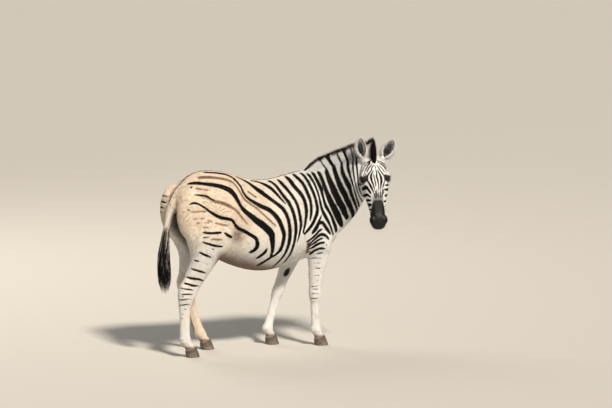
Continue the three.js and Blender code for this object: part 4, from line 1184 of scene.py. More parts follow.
def zebraHide():  # short glossy hair that grew over skin: matt along, with a soft sheen where it turns away
    made, tree, shader = startMaterial("shortZebraHairOverSkin")
    fine, long = hide["hairMm"], hide["hairMm"] * 14
    flat = grainOf(tree, (long, fine * 2.2, fine * 2.2))  # hairs along the body
    hung = grainOf(tree, (fine * 2.2, fine * 2.2, long))  # hairs down the legs and face
    hair = addNode(tree, "ShaderNodeMix", {"Factor": valueOf(tree, "hang")}, data_type="FLOAT")
    tree.links.new(flat, hair.inputs[2])
    tree.links.new(hung, hair.inputs[3])
    hair = hair.outputs[0]
    clumps = grainOf(tree, (hide["clumpMm"] * 3, hide["clumpMm"], hide["clumpMm"]), 3.0)
    patches = grainOf(tree, (180, 180, 140), 3.0)
    shade = valueOf(tree, "shade")
    # stripe edges break up at the size of a hair clump
    ragged = counted(tree, "MULTIPLY_ADD", hair, hide["edgeMm"] * 2, -hide["edgeMm"])
    wander = counted(tree, "MULTIPLY_ADD", clumps, hide["edgeMm"] * 1.6, -hide["edgeMm"] * 0.8)
    mark = counted(tree, "ADD", counted(tree, "ADD", valueOf(tree, "mark"), ragged), wander)
    dark = ranged(tree, mark, 1.4, -1.4)
    warm = counted(tree, "MULTIPLY_ADD", patches, 0.5, counted(tree, "SUBTRACT", valueOf(tree, "warm"), 0.25))
    light = mixed(tree, ranged(tree, warm, 0.0, 0.45), hide["cool"], hide["white"])
    light = mixed(tree, ranged(tree, warm, 0.4, 1.0), light, hide["tan"])
    # the brown value holds the shadow stripes and the painted shade of the flank and lower belly
    brown = counted(tree, "MULTIPLY", valueOf(tree, "brown"), ranged(tree, hair, 0.2, 0.6, 0.55, 1.0))
    light = mixed(tree, brown, light, hide["brown"])
    black = mixed(tree, ranged(tree, clumps, 0.45, 0.75, 0.0, 0.6), hide["black"], hide["rust"])
    colour = mixed(tree, dark, light, black)
    # the bare value holds dark bare skin and the painted shade beside the tail
    colour = mixed(tree, valueOf(tree, "bare"), colour, hide["bare"])
    # each hair's own tone, and the darker roots between the clumps; the mane's large shade number is painted
    # light that lifts its white
    tone = counted(tree, "MULTIPLY_ADD", hair, 0.16, counted(tree, "MULTIPLY_ADD", shade, 0.07, 0.92))
    tone = counted(tree, "MULTIPLY", tone, ranged(tree, clumps, 0.2, 0.5, 0.93, 1.0))
    toned = addNode(tree, "ShaderNodeVectorMath", {0: colour}, operation="SCALE")
    tree.links.new(tone, toned.inputs["Scale"])
    tree.links.new(toned.outputs[0], shader.inputs["Base Color"])
    bump = addNode(tree, "ShaderNodeBump", {"Height": hair, "Strength": 0.35, "Distance": 0.0012})
    tree.links.new(bump.outputs[0], shader.inputs["Normal"])
    # bare skin is smoother than hair
    rough = counted(tree, "MULTIPLY_ADD", valueOf(tree, "bare"), -0.12, 0.62)
    tree.links.new(rough, shader.inputs["Roughness"])
    glossy = counted(tree, "MULTIPLY_ADD", valueOf(tree, "bare"), 0.2, 0.12)
    tree.links.new(glossy, shader.inputs["Specular IOR Level"])
    shader.inputs["IOR"].default_value = 1.55
    shader.inputs["Sheen Weight"].default_value = 0.03
    shader.inputs["Sheen Roughness"].default_value = 0.5
    return made


hideMaterial = zebraHide()
smoothShaded(skinMesh)
random = np.random.default_rng(7)


def builtMesh(name, verts, quads, triangles):  # large meshes straight from arrays
    mesh = bpy.data.meshes.new(name)
    loops = np.concatenate([np.ravel(quads), np.ravel(triangles)]).astype(np.int32)
    starts = np.concatenate([np.arange(len(quads)) * 4, len(quads) * 4 + np.arange(len(triangles)) * 3])
    mesh.vertices.add(len(verts))
    mesh.vertices.foreach_set("co", np.asarray(verts, np.float32).ravel())
    mesh.loops.add(len(loops))
    mesh.loops.foreach_set("vertex_index", loops)
    mesh.polygons.add(len(starts))
    mesh.polygons.foreach_set("loop_start", starts.astype(np.int32))
    mesh.update(calc_edges=True)
    smoothShaded(mesh)
    return mesh


def strands(paths, widths, normals, flat=0.55, sides=3):  # pointed locks, one for each path
    count, steps = paths.shape[:2]
    tangents = unit(np.gradient(paths, axis=1))[:, :-1]
    across = unit(np.cross(tangents, normals[:, None]))
    lift = np.cross(across, tangents)
    angle = math.pi / 2 + np.arange(sides) * 2 * math.pi / sides
    c, s = np.cos(angle)[:, None], flat * np.sin(angle)[:, None]
    rings = paths[:, :-1, None] + widths[:, :, None, None] * (c * across[:, :, None] + s * lift[:, :, None])
    per = (steps - 1) * sides + 1
    verts = np.concatenate([rings.reshape(count, -1, 3), paths[:, -1:]], 1).reshape(-1, 3)
    k, j = np.meshgrid(np.arange(steps - 2), np.arange(sides), indexing="ij")
    a, b = k * sides + j, k * sides + (j + 1) % sides
    quads = np.stack([a, a + sides, b + sides, b], -1).reshape(-1, 4)
    j = np.arange(sides)
    end = (steps - 2) * sides
    triangles = np.stack([end + j, np.full(sides, per - 1), end + (j + 1) % sides], -1)
    base = (np.arange(count) * per)[:, None, None]
    share = np.append(np.repeat(np.arange(steps - 1), sides), steps - 1) / (steps - 1)
    around = np.append(np.tile(np.arange(sides) / (sides - 1), steps - 1), 0.5)
    return verts, (base + quads).reshape(-1, 4), (base + triangles).reshape(-1, 3), per, share, around


# Values are one number for each lock, or a function of how far along the lock a vertex is.
def hairPiece(name, paths, widths, normals, values, roots, material, flat=0.55, tall=0.003):
    verts, quads, triangles, per, share, around = strands(paths, widths, normals, flat)
    mesh = builtMesh(name, verts, quads, triangles)
    count = len(paths)
    filled = {}
    for key, numbers in values.items():
        numbers = numbers(share[None]) if callable(numbers) else np.asarray(numbers)[:, None]
        filled[key] = np.broadcast_to(numbers, (count, per)).ravel()
    giveValues(mesh, filled)
    patch = np.stack([(around - 0.5) * 0.003, (share - 0.5) * tall], 1)
    flatMap = (roots[:, None] + patch[None]).reshape(-1, 2)
    corners = np.empty(len(mesh.loops), np.int32)
    mesh.loops.foreach_get("vertex_index", corners)
    mesh.uv_layers.new(name="OFBake").data.foreach_set("uv", flatMap[corners].astype(np.float32).ravel())
    return newObject(name, mesh, material)


def unwrap(piece):  # a flat map of the piece's own shape
    piece.data.uv_layers.new(name="OFBake")
    bpy.context.view_layer.objects.active = piece
    piece.select_set(True)
    bpy.ops.object.mode_set(mode="EDIT")
    bpy.ops.mesh.select_all(action="SELECT")
    bpy.ops.uv.smart_project(angle_limit=math.radians(70), island_margin=0.003)
    bpy.ops.object.mode_set(mode="OBJECT")
    piece.select_set(False)


class Surface:  # places on a mesh, with the numbers that it carries there
    def __init__(self, mesh):
        mesh.calc_loop_triangles()
        count = len(mesh.loop_triangles)
        self.corners, self.loops = np.empty(count * 3, np.int32), np.empty(count * 3, np.int32)
        mesh.loop_triangles.foreach_get("vertices", self.corners)
        mesh.loop_triangles.foreach_get("loops", self.loops)
        self.corners, self.loops = self.corners.reshape(-1, 3), self.loops.reshape(-1, 3)
        self.points, self.normals = coordsOf(mesh), normalsOf(mesh)
        flat = np.empty(len(mesh.loops) * 2, np.float32)
        mesh.uv_layers["OFBake"].data.foreach_get("uv", flat)
        self.flat = flat.reshape(-1, 2)
        a, b, c = (self.points[self.corners[:, k]] for k in range(3))
        self.areas = np.linalg.norm(np.cross(b - a, c - a), axis=1) / 2
        self.middles = (a + b + c) / 3

    def scatter(self, count, density):
        chance = self.areas * density
        which = random.choice(len(chance), count, p=chance / chance.sum())
        u, v = random.random((2, count))
        flip = u + v > 1
        u, v = np.where(flip, 1 - u, u), np.where(flip, 1 - v, v)
        share = np.stack([1 - u - v, u, v], 1)[..., None]
        spread = [(numbers[index[which]] * share).sum(1) for numbers, index in
                  [(self.points, self.corners), (self.normals, self.corners), (self.flat, self.loops)]]
        return spread[0], unit(spread[1]), spread[2]


skinPiece = newObject("zebra_skin", skinMesh, hideMaterial)
start = time.perf_counter()
unwrap(skinPiece)
skinSurface = Surface(skinMesh)
skinArea = round(skinSurface.areas.sum(), 2)
print("skin unwrapped:", round(time.perf_counter() - start, 1), "s, area", skinArea, "m2")

# The coat: short locks that lie back along the body, smaller on the legs and smallest on the face.
fur = {
    "locks": {"head": 18000, "neck": 18000, "front": 22000, "flank": 22000, "rear": 22000, "forelegs": 11000,
              "hindlegs": 14000},
    "bodyMm": 15, "legMm": 9, "headMm": 8, "noseMm": 4,
    "bellyMoreMm": 6, "jawMoreMm": 5, "heelMoreMm": 13,  # where the hair is longer
    "slim": 0.074, "tuck": 0.0008,
}


def regionOf(points):
    x, _, z = points.T
    isHead = headWeight(points, -10, 20) > 0.5
    isNeck = ~isHead & (x + 0.45 * (z - 1.1) > 0.46) & (z > 0.9)
    isLeg = ~isHead & (z < 0.70 - 0.10 * (x < -0.25)) & ~((x > -0.30) & (x < 0.22) & (z > 0.56))
    rest = ~isHead & ~isNeck & ~isLeg
    return {
        "head": isHead, "neck": isNeck, "front": rest & (x > 0.10), "flank": rest & (x <= 0.10) & (x > -0.30),
        "rear": rest & (x <= -0.30), "forelegs": isLeg & (x > -0.10), "hindlegs": isLeg & (x <= -0.10),
    }


def lieOf(points, normals):  # which way the hair lies
    x, _, z = points.T
    at = inHead(points)
    body = np.stack([-np.ones(len(x)), 0 * x, -0.30 - 0.9 * smoothstep(-0.35, -0.62, x)], 1)
    neckWay = unit(neckRows[0, :3] - neckRows[-1, :3])
    neckShare = smoothstep(0.40, 0.62, x + 0.3 * (z - 1.1))[:, None]
    way = body * (1 - neckShare) + (neckWay + (0, 0, -0.35)) * neckShare
    leg = smoothstep(0.86, 0.62, z)[:, None]
    way = way * (1 - leg) + np.array((-0.22, 0, -1)) * leg
    face = headTurn @ np.array((1.0, 0, -0.12))
    cheek = headTurn @ np.array((0.35, 0, -1.0))
    low = smoothstep(10, -70, at[:, 2])[:, None] * smoothstep(330, 200, at[:, 0])[:, None]
    onFace = headWeight(points, -10, 40)[:, None]
    way = way * (1 - onFace) + (face * (1 - low) + cheek * low) * onFace
    return unit(way - normals * (way * normals).sum(1)[:, None])


def lockLength(points, normals):
    z = points[:, 2]
    at = inHead(points)
    isHead = headWeight(points, -10, 30)
    long = fur["bodyMm"] - (fur["bodyMm"] - fur["legMm"]) * smoothstep(0.78, 0.48, z)
    long = long + fur["bellyMoreMm"] * smoothstep(-0.3, -0.9, normals[:, 2]) * smoothstep(0.55, 0.62, z)
    face = fur["headMm"] - (fur["headMm"] - fur["noseMm"]) * smoothstep(200, 420, at[:, 0])
    face = face + fur["jawMoreMm"] * smoothstep(-60, -110, at[:, 2]) * smoothstep(330, 260, at[:, 0])
    long = long * (1 - isHead) + face * isHead
    heel = np.exp(-((z - 0.115) / 0.022) ** 2) * (normals[:, 0] < -0.4)
    return (long + fur["heelMoreMm"] * heel) * (0.75 + 0.5 * random.random(len(z))) / 1000


def coatDepth(points):
    isHead = headWeight(points, -10, 30)
    leg = smoothstep(0.80, 0.60, points[:, 2])
    body = coat["body"] - (coat["body"] - coat["leg"]) * leg
    return (body * (1 - isHead) + coat["head"] * isHead) / 1000


def coveredByHair(points, normals):  # 0 inside the lids, the nostrils and the mouth
    at = inHead(points)
    cover = np.ones(len(points))
    for side in (-1, 1):
        d = at - np.array(head["eye"]) * (1, side, 1)
        out, ahead, up = eyeAxes(side)
        cover[(openingOf(d @ ahead, d @ up) < 1.3) & (d @ out > 0)] = 0
        hole = np.linalg.norm(at - np.array(forms["nostril"]["at"]) * (1, side, 1), axis=1)
        cover[hole < 18] = 0
    along, above = forms["mouth"]["line"]
    between = abs(at[:, 2] - np.interp(at[:, 0], along, above)) < forms["mouth"]["deep"]
    cover[between & (at[:, 0] > along[0]) & (at[:, 0] < forms["mouth"]["end"])] = 0
    cover[points[:, 2] < 0.064] = 0  # the hooves begin here
    return cover


def growCoat():
    made = []
    middles = skinSurface.middles
    normals = unit(skinSurface.normals[skinSurface.corners].mean(1))
    density = coveredByHair(middles, normals) / lockLength(middles, normals) ** 1.4
    for region, chosen in regionOf(middles).items():
        count = fur["locks"][region]
        roots, up, flat = skinSurface.scatter(count, density * chosen)
        way = lieOf(roots, up)
        turn = random.normal(0, 0.20, count)
        turn = turn + 0.25 * np.sin(roots @ (61, 37, 43)) * np.sin(roots @ (23, 71, 29))
        way = way * np.cos(turn)[:, None] + np.cross(up, way) * np.sin(turn)[:, None]
        long, deep = lockLength(roots, up)[:, None], coatDepth(roots)[:, None]
        rise = (0.75 + 0.4 * random.random((count, 1))) * deep
        paths = np.stack([
            roots - up * fur["tuck"], roots + way * long * 0.5 + up * rise * 0.72,
            roots + way * long + up * rise * 0.80,
        ], 1)
        wide = long * fur["slim"] * (0.8 + 0.4 * random.random((count, 1)))
        values = markingsAt(roots + way * long * 0.55)
        values["shade"] = random.normal(0, 0.45, count)
        wide = np.hstack([wide, wide * 0.8])
        made.append(hairPiece(f"coat_{region}", paths, wide, up, values, flat, hideMaterial))
        print("coat grown:", region, count, "locks")
    return made


coatPieces = growCoat()
print("coat", round(time.perf_counter() - start, 1), "s")

# The ears are curled cups of skin and gristle. Each section: how far up, half width, how far the back
# bows out, and how far round the cup closes on each side in degrees.
ears = {
    "poses": {
        "right": {"root": (-6, -82, 36), "tilt": -6, "lean": 4, "swing": 22},
        "left": {"root": (-8, 74, 22), "tilt": 31, "lean": 6, "swing": -12},
    },
    "long": 160, "thick": 3.0, "coat": 2.2, "columns": 25,
    "sections": [
        (-0.16, 9, 9, 176), (0, 17, 17, 166), (0.12, 27, 24, 146), (0.34, 40.5, 26, 116),
        (0.56, 42.5, 21, 98), (0.78, 34, 14.5, 88), (0.92, 21.5, 9, 82), (0.985, 10, 5.5, 80),
        (1.0, 5, 4, 80),
    ],
    "backLocks": 2200, "innerHairs": 1500, "rimHairs": 900,
}


def earTurn(pose):
    heading, tilt, lean, swing = (math.radians(a) for a in (
        head["heading"], pose["tilt"], pose["lean"], pose["swing"]))
    return np.array(
        Matrix.Rotation(-heading, 3, "Z") @ Matrix.Rotation(-tilt, 3, "X")
        @ Matrix.Rotation(-lean, 3, "Y") @ Matrix.Rotation(swing, 3, "Z"))


def earPlace(pose, points):  # the ear stands on +Z and opens to +X
    return points @ earTurn(pose).T / 1000 + onHead(pose["root"])


def earSurface(up, s, inner=0.0):  # a place on the cup: up it, across it (-1 to 1), how far in through it
    table = np.array(ears["sections"])
    up = np.broadcast_to(up, np.shape(s))
    half, bow, curl = (np.interp(up, table[:, 0], table[:, k]) for k in (1, 2, 3))
    drawn = ears["coat"] + inner * ears["thick"]
    turned = np.radians(curl) * s
    roll = 2.0 * (1 - inner) * np.exp(-((abs(s) - 1) / 0.12) ** 2)  # the rim rolls out a little
    wide, deep = np.maximum(half - drawn, 1.5) + roll, np.maximum(bow - drawn, 1.0)
    return np.stack([-deep * np.cos(turned), wide * np.sin(turned), up * ears["long"]], -1)


def bandsOf(share):  # two dark bands over the back of the ear
    return np.minimum(abs(share - 0.84) * 150 - 12, abs(share - 0.33) * 150 - 11)


def makeEar(name, pose):
    ups = smoothed([[row[0]] for row in ears["sections"]], 5)[:, 0]
    s = np.linspace(1, -1, ears["columns"])
    rings, share, sides = [], [], []
    for up in ups:
        outer, inner = earSurface(up, s), earSurface(up, s[::-1], 1.0)
        first = earSurface(up, np.array([1.03]), 0.5)
        last = earSurface(up, np.array([-1.03]), 0.5)
        rings.append(np.concatenate([outer, last, inner, first]))
        share.append(np.full(len(rings[-1]), up))
        sides.append(np.concatenate([s, [-1.1], s[::-1], [1.1]]))
    rings = np.array(rings)
    verts, faces = closedLoft(rings)
    columns = ears["columns"]
    inside = np.tile(np.arange(rings.shape[1]) > columns, len(rings))
    share = np.append(np.ravel(share), [ears["sections"][0][0], 1])
    across, inside = np.append(np.ravel(sides), [0, 0]), np.append(inside, [False, False])
    mesh = newMesh(name, earPlace(pose, verts), faces)
    smoothShaded(mesh)
    band = bandsOf(share)
    edge = 1 - abs(across)
    mark = np.where(inside, 30, np.where(edge < 0.16, 24, band))
    deepest = smoothstep(0.35, 0.75, edge) * smoothstep(0.92, 0.7, share)
    bare = inside * (0.55 * smoothstep(0.05, 0.25, edge) + 0.45 * deepest)
    giveValues(mesh, {
        "mark": mark, "bare": bare, "warm": 0.1 * np.ones(len(share)), "hang": np.ones(len(share)),
        "brown": 0.15 * inside,
    })
    return mesh


def growEar(name, pose, piece):
    unwrap(piece)
    made = []
    flatTree = treeOf(piece.data)
    surface = Surface(piece.data)

    def nearestFlat(points):
        kinds = []
        for p in points:
            _, _, face, _ = flatTree.find_nearest(Vector(p))
            kinds.append(surface.flat[piece.data.polygons[face].loop_start])
        return np.array(kinds)

    def lay(count, up, s, inner, wayOf, long, wide, lift, curve, values, label):
        roots = earPlace(pose, earSurface(up, s, inner))
        a = earPlace(pose, earSurface(up + 0.01, s, inner)) - roots
        b = earPlace(pose, earSurface(up, s + 0.01, inner)) - roots
        out = unit(np.cross(b, a)) * (-1 if inner > 0.5 else 1)
        way = unit(wayOf(unit(a), unit(b), out))
        tipWay = unit(way + curve[:, None] * out)
        paths = np.stack([
            roots - out * 0.0006, roots + way * long * 0.34 + out * lift * 0.7,
            roots + way * long * 0.68 + out * lift,
            roots + (way * 0.7 + tipWay * 0.3) * long + out * lift * 0.9,
        ], 1)
        widths = wide * np.ones((count, 3)) * (1, 0.85, 0.55)
        values["shade"] = random.normal(0, 0.4, count)
        made.append(hairPiece(
            f"{piece.name}_{label}", paths, widths, out, values, nearestFlat(roots), hideMaterial))

    n = ears["backLocks"]
    up, s = random.random(n) ** 0.9 * 0.98, random.uniform(-0.98, 0.98, n)
    zero = np.zeros(n)
    values = {
        "mark": np.where(abs(s) > 0.84, 24, bandsOf(up + 0.03)),
        "bare": zero, "warm": zero, "hang": zero + 1, "brown": zero,
    }
    long = 0.010 + 0.003 * random.random((n, 1))
    lay(n, up, s, 0.0, lambda a, b, out: a + 0.16 * random.normal(size=(n, 3)), long,
        0.0006, 0.0016, zero, values, "back")
    n = ears["innerHairs"]
    up, s = random.uniform(0.02, 0.9, n), random.choice([-1, 1], n) * (1 - 0.42 * random.random(n) ** 1.5)
    inward = np.sign(s)[:, None]
    zero = np.zeros(n)
    values = {
        "mark": zero + 30, "bare": 0.72 * smoothstep(0.96, 0.80, abs(s)), "warm": zero + 0.05,
        "hang": zero + 1, "brown": zero + 0.2,
    }
    long = (0.026 + 0.016 * random.random((n, 1))) * (1.15 - 0.5 * up[:, None])
    lay(n, up, s, 1.0,
        lambda a, b, out: a * 1.1 - b * inward * 0.85 + 0.25 * random.normal(size=(n, 3)), long,
        0.0011, 0.0085, zero + 0.45, values, "inner")
    n = ears["rimHairs"]
    up, s = random.uniform(0.06, 1.0, n), random.choice([-1, 1], n) * random.uniform(0.9, 1.02, n)
    outward = np.sign(s)[:, None]
    zero = np.zeros(n)
    values = {"mark": zero + 26, "bare": zero, "warm": zero, "hang": zero + 1, "brown": zero}
    long = 0.010 + 0.005 * random.random((n, 1))
    lay(n, up, s, 0.4,
        lambda a, b, out: a + b * outward * 0.35 + 0.2 * random.normal(size=(n, 3)), long,
        0.0006, 0.001, zero, values, "rim")
    return made


earPieces = {}
for side, pose in ears["poses"].items():
    ear = newObject(f"ear_skin_{side}", makeEar(f"ear_skin_{side}", pose), hideMaterial)
    earPieces[f"ear_{side}"] = [ear] + growEar(side, pose, ear)
print("ears made")

# The mane stands straight up from the crest and carries on the stripes of the neck, with black tips.
mane = {
    "high": 110, "locks": 6000, "wideMm": 1.4, "tips": 0.60, "forelock": 46, "bend": 0.05,
    # where the crest goes on over the head: place, pitch, how high, half width
    "poll": [((-26, -2, 24), 8, 162.8, 25), ((0, -2, 38), -10, 138.6, 27), ((36, 0, 56), -46, 22, 11)],
}


def maneRows():
    crest = []
    stations = smoothed(neck["stations"], 2)[3:]
    for i, (x, y, z, heading, pitch, roll, _, up, _, _, _) in enumerate(stations):
        grown = smoothstep(-2, 3.4, i)
        top = np.array(turnOf(heading, pitch, roll)) @ (0, 0, up) + (x, y, z)
        crest.append((*top, heading, pitch, roll, 14 + 10 * grown, mane["high"] * grown + 2.4 * i))
    for at, pitch, high, side in mane["poll"]:
        crest.append((*(onHead(at) * 1000), head["heading"], pitch, 0, side, high))
    return smoothed(crest, 24)


def growMane():
    rows = maneRows()
    count = mane["locks"]
    steps = np.linalg.norm(np.diff(rows[:, :3], axis=0), axis=1)
    run = np.append(0, np.cumsum(steps))
    where = np.interp(random.random(count) * steps.sum(), run, np.arange(len(rows)))
    low = np.minimum(where.astype(int), len(rows) - 2)
    picked = rows[low] + (rows[low + 1] - rows[low]) * (where - low)[:, None]
    turns = np.array([turnOf(*row[3:6]) for row in picked])
    ahead, left, up = (turns[:, :, k] for k in range(3))
    w = np.clip(random.normal(0, 0.42, count), -0.94, 0.94)
    side, high = picked[:, 6:7], picked[:, 7:8]
    crown = (1 - abs(w[:, None]) ** 1.7) ** (1 / 1.7)
    ragged = 0.86 + 0.13 * random.random((count, 1)) + 0.03 * np.sin(where * 1.3)[:, None]
    tall = high * crown * ragged
    lean = 0.07 * random.normal(size=(count, 1)) + 0.05 * np.sin(where / 7)[:, None] + mane["bend"]
    shares = np.array([0, 0.3, 0.58, 0.82, 1])[None, :, None]
    isForelock = (where > len(rows) - mane["forelock"] - 6)[:, None, None]
    w = np.where(isForelock[:, 0, 0], w * 1.5, w).clip(-0.94, 0.94)
    base = picked[:, None, :3] + left[:, None] * side[:, None] * w[:, None, None] * (
        0.42 + 0.45 * shares + 0.3 * isForelock * (1 - shares))
    paths = base + up[:, None] * (tall[:, None] * shares - 7)
    paths = paths + ahead[:, None] * (lean * tall)[:, None] * shares ** 1.6
    paths /= 1000
    wide = mane["wideMm"] / 1000 * (0.75 + 0.5 * random.random((count, 1))) * (1, 0.95, 0.8, 0.55)
    rootMark = fieldOf(np.array([skinTree.find_nearest(Vector(p))[0] for p in paths[:, 0]]), blackPaths)
    rootMark = np.minimum(rootMark, (len(rows) - mane["forelock"] - where) * 1.2)
    turnDark = mane["tips"] + 0.05 * random.normal(size=count) - 0.12 * smoothstep(50, 0, where)
    reach = (tall / high)[:, 0]

    def markOf(share):  # the neck's stripes carry on up the hair, and the tips are black
        return np.minimum(rootMark[:, None], (turnDark[:, None] - share * reach[:, None]) * 90)

    values = {
        "mark": markOf,
        "bare": 0 * w, "warm": 0.02 + 0 * w, "hang": 1 + 0 * w, "brown": 0.08 * random.random(count),
        # painted light: the shade number lifts the mane's white above the hair's own colour, to make up for
        # the shade its locks cast on each other
        "shade": 2.6 + random.normal(0, 0.5, count),
    }
    flat = np.stack([0.02 + 0.96 * where / len(rows), 0.5 + 0.02 * w], 1)
    return hairPiece("mane_hair", paths, wide, left, values, flat, hideMaterial, 0.8, 0.12)


manePiece = growMane()
print("mane grown")

# The tail's long hair hangs from the lower half of the dock: white above and within, black below.
tassel = {"hairs": 2000, "wideMm": 1.5, "from": 2.4, "white": 0.07, "locks": 9}


def growTassel():
    count, steps = tassel["hairs"], 9
    last = len(tailRows) - 1
    start = (tassel["from"] + (tail["dockEnd"] + 0.15 - tassel["from"]) * random.random(count) ** 0.62) * 5
    end = last - random.random(count) ** 1.7 * 15 * smoothstep(0, 1, random.random(count) + 0.35)
    end = np.maximum(end, start + 9)
    early = smoothstep(5.15 * 5, 4.2 * 5, start)
    end = end - early * random.random(count) * 12
    locks = tassel["locks"]
    lock = np.floor(random.random(count) * locks)
    shorter = 2.6 * ((lock * 5) % locks) / locks  # so that the locks end at several heights
    end = np.maximum(end - shorter * (end > last - 8), start + 9)
    round_ = (lock + 0.5 + 0.42 * random.normal(size=count)) * 2 * math.pi / locks
    out = np.sqrt(random.random(count))
    shares = np.linspace(0, 1, steps)
    at = start[:, None] + (end - start)[:, None] * shares
    numbers = np.stack([np.interp(at, np.arange(last + 1), tailRows[:, k]) for k in range(11)], -1)
    turns = np.array([[turnOf(*row[3:6]) for row in rows] for rows in numbers[:, ::4]])
    turns = turns[:, np.minimum((np.arange(steps) + 2) // 4, turns.shape[1] - 1)]
    left, up = turns[..., 1], turns[..., 2]
    gathered = 1 - 0.45 * smoothstep(0.7, 1.0, shares)  # each lock draws in to a point
    spread = 1.0 + (out[:, None] * 0.98 - 1.0) * smoothstep(0.04, 0.45, shares)
    middle = ((lock + 0.5) * 2 * math.pi / locks)[:, None]
    wave = middle + (round_[:, None] - middle) * gathered
    wave = wave + 0.2 * np.sin(shares * 7 + random.random((count, 1)) * 6)
    c, s = (np.cos(wave) * spread)[..., None], (np.sin(wave) * spread)[..., None]
    paths = (numbers[..., :3] + left * numbers[..., 6:7] * c + up * numbers[..., 7:8] * s) / 1000
    wide = tassel["wideMm"] / 1000 * (0.7 + 0.6 * random.random((count, 1))) * np.linspace(1, 0.5, steps - 1)
    isWhite = (random.random(count) < tassel["white"] * (1 + 1.2 * early)) | (random.random(count) < early)
    normals = unit(left[:, 0] * np.cos(round_)[:, None] + up[:, 0] * np.sin(round_)[:, None])
    pale = np.where(isWhite, 30.0, -10.0)
    reach = np.where(random.random(count) < 0.12, 0.9, 0.24 + 0.3 * random.random(count))
    values = {
        "mark": lambda share: np.where(isWhite[:, None], (reach[:, None] - share) * 60, pale[:, None]),
        "bare": 0 * pale, "warm": 0.35 + 0 * pale, "hang": 1 + 0 * pale, "brown": 0.35 * random.random(count),
        "shade": random.normal(0, 0.5, count),
    }
    dock = np.array([skinTree.find_nearest(Vector(p))[2] for p in paths[:, 0]])
    starts = np.array([skinMesh.polygons[int(face)].loop_start for face in dock])
    return hairPiece("tail_hair", paths, wide, normals, values, skinSurface.flat[starts], hideMaterial, 0.7)


tailPiece = growTassel()
print("tail grown")


# The eyes: dark brown iris, a level pupil and a wet surface; attributes hold the pattern.
eyes = {"pupil": (9.0, 5.2), "iris": 15.5, "brown": "#2a160d", "deep": "#0b0706", "white": "#3b2c25"}


def wetEye():  # tear film over the cornea: near-black with sharp glints
    made, tree, shader = startMaterial("wetCorneaOverBrownIris")
    rays = grainOf(tree, (1.2, 1.2, 1.2), 2.0)
    iris = mixed(tree, ranged(tree, rays, 0.3, 0.7), eyes["deep"], eyes["brown"])
    colour = mixed(tree, ranged(tree, valueOf(tree, "rim"), -1.5, 1.5), iris, eyes["white"])
    colour = mixed(tree, ranged(tree, valueOf(tree, "pupil"), 0.8, -0.8), colour, eyes["deep"])
    tree.links.new(colour, shader.inputs["Base Color"])
    shader.inputs["Roughness"].default_value = 0.08
    shader.inputs["IOR"].default_value = 1.38
    shader.inputs["Coat Weight"].default_value = 0.6
    shader.inputs["Coat Roughness"].default_value = 0.03
    return made


def makeEye(side, label, material):
    radius = head["eyeRadius"] - 0.4
    verts, faces = ball(np.zeros(3), np.full(3, radius), None, 48)
    out, ahead, up = eyeAxes(side)
    mesh = newMesh(f"eyeball_{label}", onHead(verts + np.array(head["eye"]) * (1, side, 1)), faces)
    smoothShaded(mesh)
    u, v, high = verts @ ahead, verts @ up, verts @ out
    pupil = (np.hypot(u / eyes["pupil"][0], v / eyes["pupil"][1]) - 1) * 5 + 50 * (high < 0)
    giveValues(mesh, {"pupil": pupil, "rim": np.hypot(u, v) - eyes["iris"] + 50 * (high < 0)})
    return newObject(f"eyeball_{label}", mesh, material)


def lidLine(side, shares, grow):  # places on the edge of the opening; 0 to 0.5 runs along the upper lid
    long, upper, lower = forms["lids"]["half"]
    t = 2 * math.pi * shares
    u = long * np.cos(t) * grow
    v = np.where(np.sin(t) > 0, upper, lower) * np.sin(t) * grow - 0.14 * u
    cover = head["eyeRadius"] + forms["lids"]["thick"] * 0.55
    out, ahead, up = eyeAxes(side)
    high = np.sqrt(np.clip(cover ** 2 - u ** 2 - v ** 2, 9, None))
    return u[:, None] * ahead + v[:, None] * up + high[:, None] * out + np.array(head["eye"]) * (1, side, 1)


def nearestUv(points):
    starts = [skinMesh.polygons[skinTree.find_nearest(Vector(p))[2]].loop_start for p in points]
    return skinSurface.flat[np.array(starts)]


def growLashes():
    made = []
    for side, label in ((-1, "right"), (1, "left")):
        out, _, up = eyeAxes(side)
        upper, lower = np.linspace(0.03, 0.47, 78), np.linspace(0.60, 0.92, 26)
        shares = np.concatenate([upper, lower])
        shares = shares + random.normal(0, 0.004, len(shares))
        roots = lidLine(side, shares, 1.02)
        above = (shares < 0.5)[:, None]
        fan = (roots - lidLine(side, shares * 0 + 0.25, 0.0)) / 26
        way = out + np.where(above, up * 0.15, -up * 0.8) + fan * 0.8
        way = unit(way + 0.07 * random.normal(size=fan.shape))
        upperLong = 15 + 6 * random.random(len(shares))
        lowerLong = 6 + 3 * random.random(len(shares))
        long = np.where(above[:, 0], upperLong, lowerLong)[:, None]
        drop = np.where(above, -up * 0.34, up * 0.0)
        paths = np.stack(
            [onHead(roots + way * long * t + drop * long * t ** 2) for t in (0, 0.4, 0.75, 1)], 1)
        zero = np.zeros(len(shares))
        values = {"mark": zero - 20, "hang": zero + 1}
        values.update({name: zero for name in ("bare", "warm", "brown", "shade")})
        wide = np.full((len(shares), 3), 0.00045) * (1, 0.9, 0.6)
        outward = np.tile(headTurn @ out, (len(shares), 1))
        flat = nearestUv(onHead(roots))
        made.append(hairPiece(f"lashes_{label}", paths, wide, outward, values, flat, hideMaterial, 0.9))
    return made


whiskers = {"count": 110, "longMm": (18, 46)}


